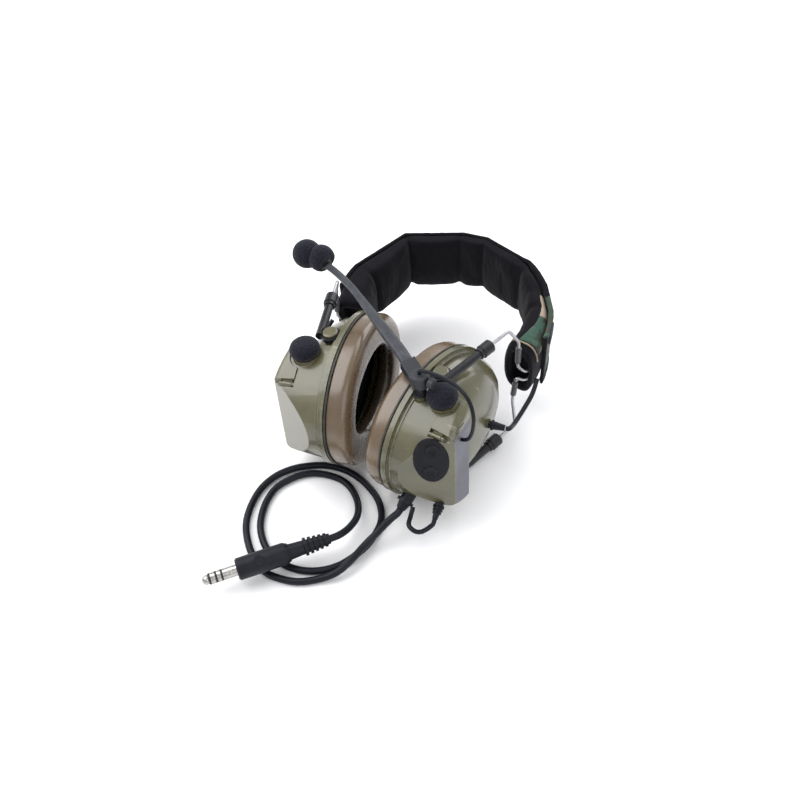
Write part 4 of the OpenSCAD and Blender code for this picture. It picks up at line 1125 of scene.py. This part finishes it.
class HEADSET_OT_headband_cover(bpy.types.Operator):
    """Make the printed cloth cover with its flap, edges, tapes and closing tab"""

    bl_idname = "headset.headband_cover"
    bl_label = "Headband cover"

    def execute(self, context):
        ripple = sizes().cloth_ripple * 1000
        low, high = COVER_ENDS

        def cover(u, v):
            a = low + (high - low) * v
            on_outside, w = layer_at(u)
            z = -COVER_W / 2 + COVER_W * w
            puff = 0.35 * liner_pillow(a) * sin(pi * w)
            wave = ripple * (noise.noise(Vector((a * 0.13, z * 0.08, 9.0)))
                             + 0.5 * noise.noise(Vector((a * 0.5, z * 0.22, 3.0))))
            outer, inner = ARCH_R - 0.5 + puff + wave, ARCH_R - COVER_T + 0.2
            if on_rim(w, v):
                return arch_point((outer + inner) / 2, a, z)
            return arch_point(outer if on_outside else inner, a, z)

        bm = wrap_grid(64, 240, cover, COVER_UV)
        uv = bm.loops.layers.uv.active
        for face in bm.faces:
            at = face.loops[0][uv].uv
            across = abs(1 - 2 * at.x / COVER_UV[0])
            a = low + (high - low) * at.y / COVER_UV[1]
            front, back = across < 0.13, across > 0.87
            if front and a > BLACK_FRONT or back and a > BLACK_BACK:
                face.material_index = 1
        sleeve = put_piece("printed_cover", bm, "camouflage_cloth", "headband", ["headband_cover"])
        sleeve.data.materials.append(finish("liner_cloth"))
        edges = []
        for side, f, turn in (("front", 1, BLACK_FRONT), ("back", -1, BLACK_BACK)):
            edges.append(self.edge(f"{side}_black_edge", f, turn, high, "liner_cloth"))
            edges.append(self.edge(f"{side}_printed_edge", f, low, turn + 0.4, "camouflage_cloth"))
        edges + [self.flap(), self.hem()] + self.tapes()
        self.tab()
        return {"FINISHED"}

    def edge(self, name, f, a0, a1, look):
        """Cloth turned over one edge of the cover."""
        count = int(abs(a1 - a0) * 1.4)
        route = [arch_point(ARCH_R - 1.5, a0 + (a1 - a0) * k / count, f * (COVER_W / 2 - 0.2))
                 for k in range(count + 1)]

        def outline(angle):
            return 1.25 * signed_pow(cos(angle), 0.8), 0.75 * signed_pow(sin(angle), 0.8)

        def swell(t):
            a = a0 + (a1 - a0) * t
            return 1 - 0.35 * held(a, *JOINED) + 0.12 * noise.noise(Vector((a * 0.33, 4.0 + f, 0)))

        bm = tube(route, 0.0015, 16, (0, 0, 1), outline, swell)
        return put_piece(name, bm, look, "headband")

    def flap(self):
        """Printed cloth drawn over the front edge of the right end, narrowing to a point."""
        def place(u, v):
            a = -8.0 + 38.0 * v
            reach = 49 + 26 * (1 - v)
            on_outside, w = layer_at(u)
            lift = 0.12 if on_rim(w, v) else 0.55 if on_outside else -0.3
            return liner_skin(a, radians(24 + reach * w), lift)

        bm = wrap_grid(60, 70, place, (0.06, 0.05))
        return put_piece("printed_flap", bm, "flap_cloth", "headband", (), "camouflage_cloth")

    def hem(self):
        """Pale piping along the open end of the cloth."""
        route = [liner_skin(-9.2, radians(16 + 104 * k / 40), 0.5) for k in range(41)]
        return put_piece("right_piping", tube(route, 0.0006, 10), "binding_tape", "headband")

    def tapes(self):
        """Narrow tape bound round each end of the cover."""
        made = []
        for name, a in (("right_end_tape", -2.0), ("left_end_tape", 182.0)):
            def band(u, v, a=a):
                e = tau * u
                z = (COVER_W / 2 + 0.6) * (2 * v - 1)
                tuck = 1.0 if 0.03 < v < 0.97 else 0.75
                return arch_point(ARCH_R - 1.0 + 1.3 * tuck * signed_pow(sin(e), 0.5),
                                  a + 1.0 * signed_pow(cos(e), 0.5), z)

            bm = wrap_grid(20, 60, band, (0.012, 0.052))
            made.append(put_piece(name, bm, "liner_cloth", "headband"))
        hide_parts("cover_binding")
        return made

    def tab(self):
        """Small square of hook-and-loop that closes the cover."""
        def patch(u, v):
            e = tau * u
            a = 2.0 + 7.5 * v
            z = COVER_W / 2 - 5.0 + 6.0 * signed_pow(cos(e), 0.35)
            return arch_point(ARCH_R + 0.45 + 0.75 * signed_pow(sin(e), 0.6), a, z)

        bm = wrap_grid(28, 24, patch, (0.03, 0.01))
        put_piece("closing_tab", bm, "hook_and_loop", "headband", (), "liner_cloth")


# ---- stage ----
CAMERA_AZ, CAMERA_EL, CAMERA_DISTANCE = radians(22.0), radians(45.9), 0.62
HALF_VIEW = 0.27025
LAMPS = (("key", (-0.60, -0.10, 0.80), 1.0, 10.5), ("fill", (0.80, -0.45, 0.70), 0.9, 3.2),
         ("rim", (0.20, 0.90, 0.80), 1.0, 8.5))


class HEADSET_OT_stage(bpy.types.Operator):
    """Set the camera, the pale floor and the soft lights"""

    bl_idname = "headset.stage"
    bl_label = "Stage and camera"

    def execute(self, context):
        scene = context.scene
        level = cos(CAMERA_EL)
        back = Vector((sin(CAMERA_AZ) * level, -cos(CAMERA_AZ) * level, sin(CAMERA_EL)))
        camera = put_object("camera", bpy.data.cameras.new("camera"))
        camera.location = TARGET + back * CAMERA_DISTANCE
        camera.rotation_euler = (-back).to_track_quat("-Z", "Y").to_euler()
        camera.data.sensor_width = 36.0
        camera.data.lens = 18.0 / (HALF_VIEW / CAMERA_DISTANCE)
        camera.data.shift_x = -11 / 800
        camera.data.shift_y = -31 / 800
        scene.camera = camera

        bm = bmesh.new()
        bmesh.ops.create_grid(bm, x_segments=1, y_segments=1, size=3.0)
        floor = put_object("floor", mesh_from("floor", bm))
        paper = start_finish("pale_floor", 0.7, (0.93, 0.93, 0.94))[0]
        floor.data.materials.append(dress(paper, {"Specular IOR Level": 0.1}))

        world_data = bpy.data.worlds.new("soft_sky")
        world_data.use_nodes = True
        sky = world_data.node_tree.nodes["Background"]
        sky.inputs["Color"].default_value = (0.97, 0.98, 1.0, 1.0)
        sky.inputs["Strength"].default_value = 0.76
        scene.world = world_data
        scene.view_settings.view_transform = "Standard"
        for values in LAMPS:
            self.lamp(*values)
        return {"FINISHED"}

    def lamp(self, name, at, size, power):
        """A square soft light that looks at the headset."""
        data = bpy.data.lights.new(name, "AREA")
        data.size = size
        data.energy = power
        lamp = put_object(name, data)
        lamp.location = at
        lamp.rotation_euler = (Vector(at) - TARGET).to_track_quat("Z", "Y").to_euler()


STEPS = (HEADSET_OT_stage, HEADSET_OT_down_lead, HEADSET_OT_small_cables, HEADSET_OT_spring_wires,
         HEADSET_OT_moulded_pieces, HEADSET_OT_boom_arm, HEADSET_OT_ear_cushions, HEADSET_OT_foams,
         HEADSET_OT_headband_liner, HEADSET_OT_headband_cover)


class HEADSET_PT_panel(bpy.types.Panel):
    """Builds the headset piece by piece"""

    bl_idname = "HEADSET_PT_panel"
    bl_label = "Aviation headset"
    bl_space_type = "VIEW_3D"
    bl_region_type = "UI"
    bl_category = "Headset"

    def draw(self, context):
        for group in (context.scene.headset_sizes, context.scene.headset_colours):
            for key in group.bl_rna.properties.keys():
                if key not in ("rna_type", "name"):
                    self.layout.prop(group, key)
        for step in STEPS:
            self.layout.operator(step.bl_idname)


CLASSES = (HeadsetSizes, HeadsetColours, *STEPS, HEADSET_PT_panel)


def register():
    for cls in CLASSES:
        bpy.utils.register_class(cls)
    bpy.types.Scene.headset_sizes = PointerProperty(type=HeadsetSizes)
    bpy.types.Scene.headset_colours = PointerProperty(type=HeadsetColours)


def unregister():
    del bpy.types.Scene.headset_colours
    del bpy.types.Scene.headset_sizes
    for cls in reversed(CLASSES):
        bpy.utils.unregister_class(cls)


def main():
    register()
    bpy.ops.headset.stage()
    bpy.ops.headset.down_lead()
    bpy.ops.headset.small_cables()
    bpy.ops.headset.spring_wires()
    bpy.ops.headset.moulded_pieces()
    bpy.ops.headset.boom_arm()
    bpy.ops.headset.ear_cushions()
    bpy.ops.headset.foams()
    bpy.ops.headset.headband_liner()
    bpy.ops.headset.headband_cover()


if __name__ == "__main__":
    main()
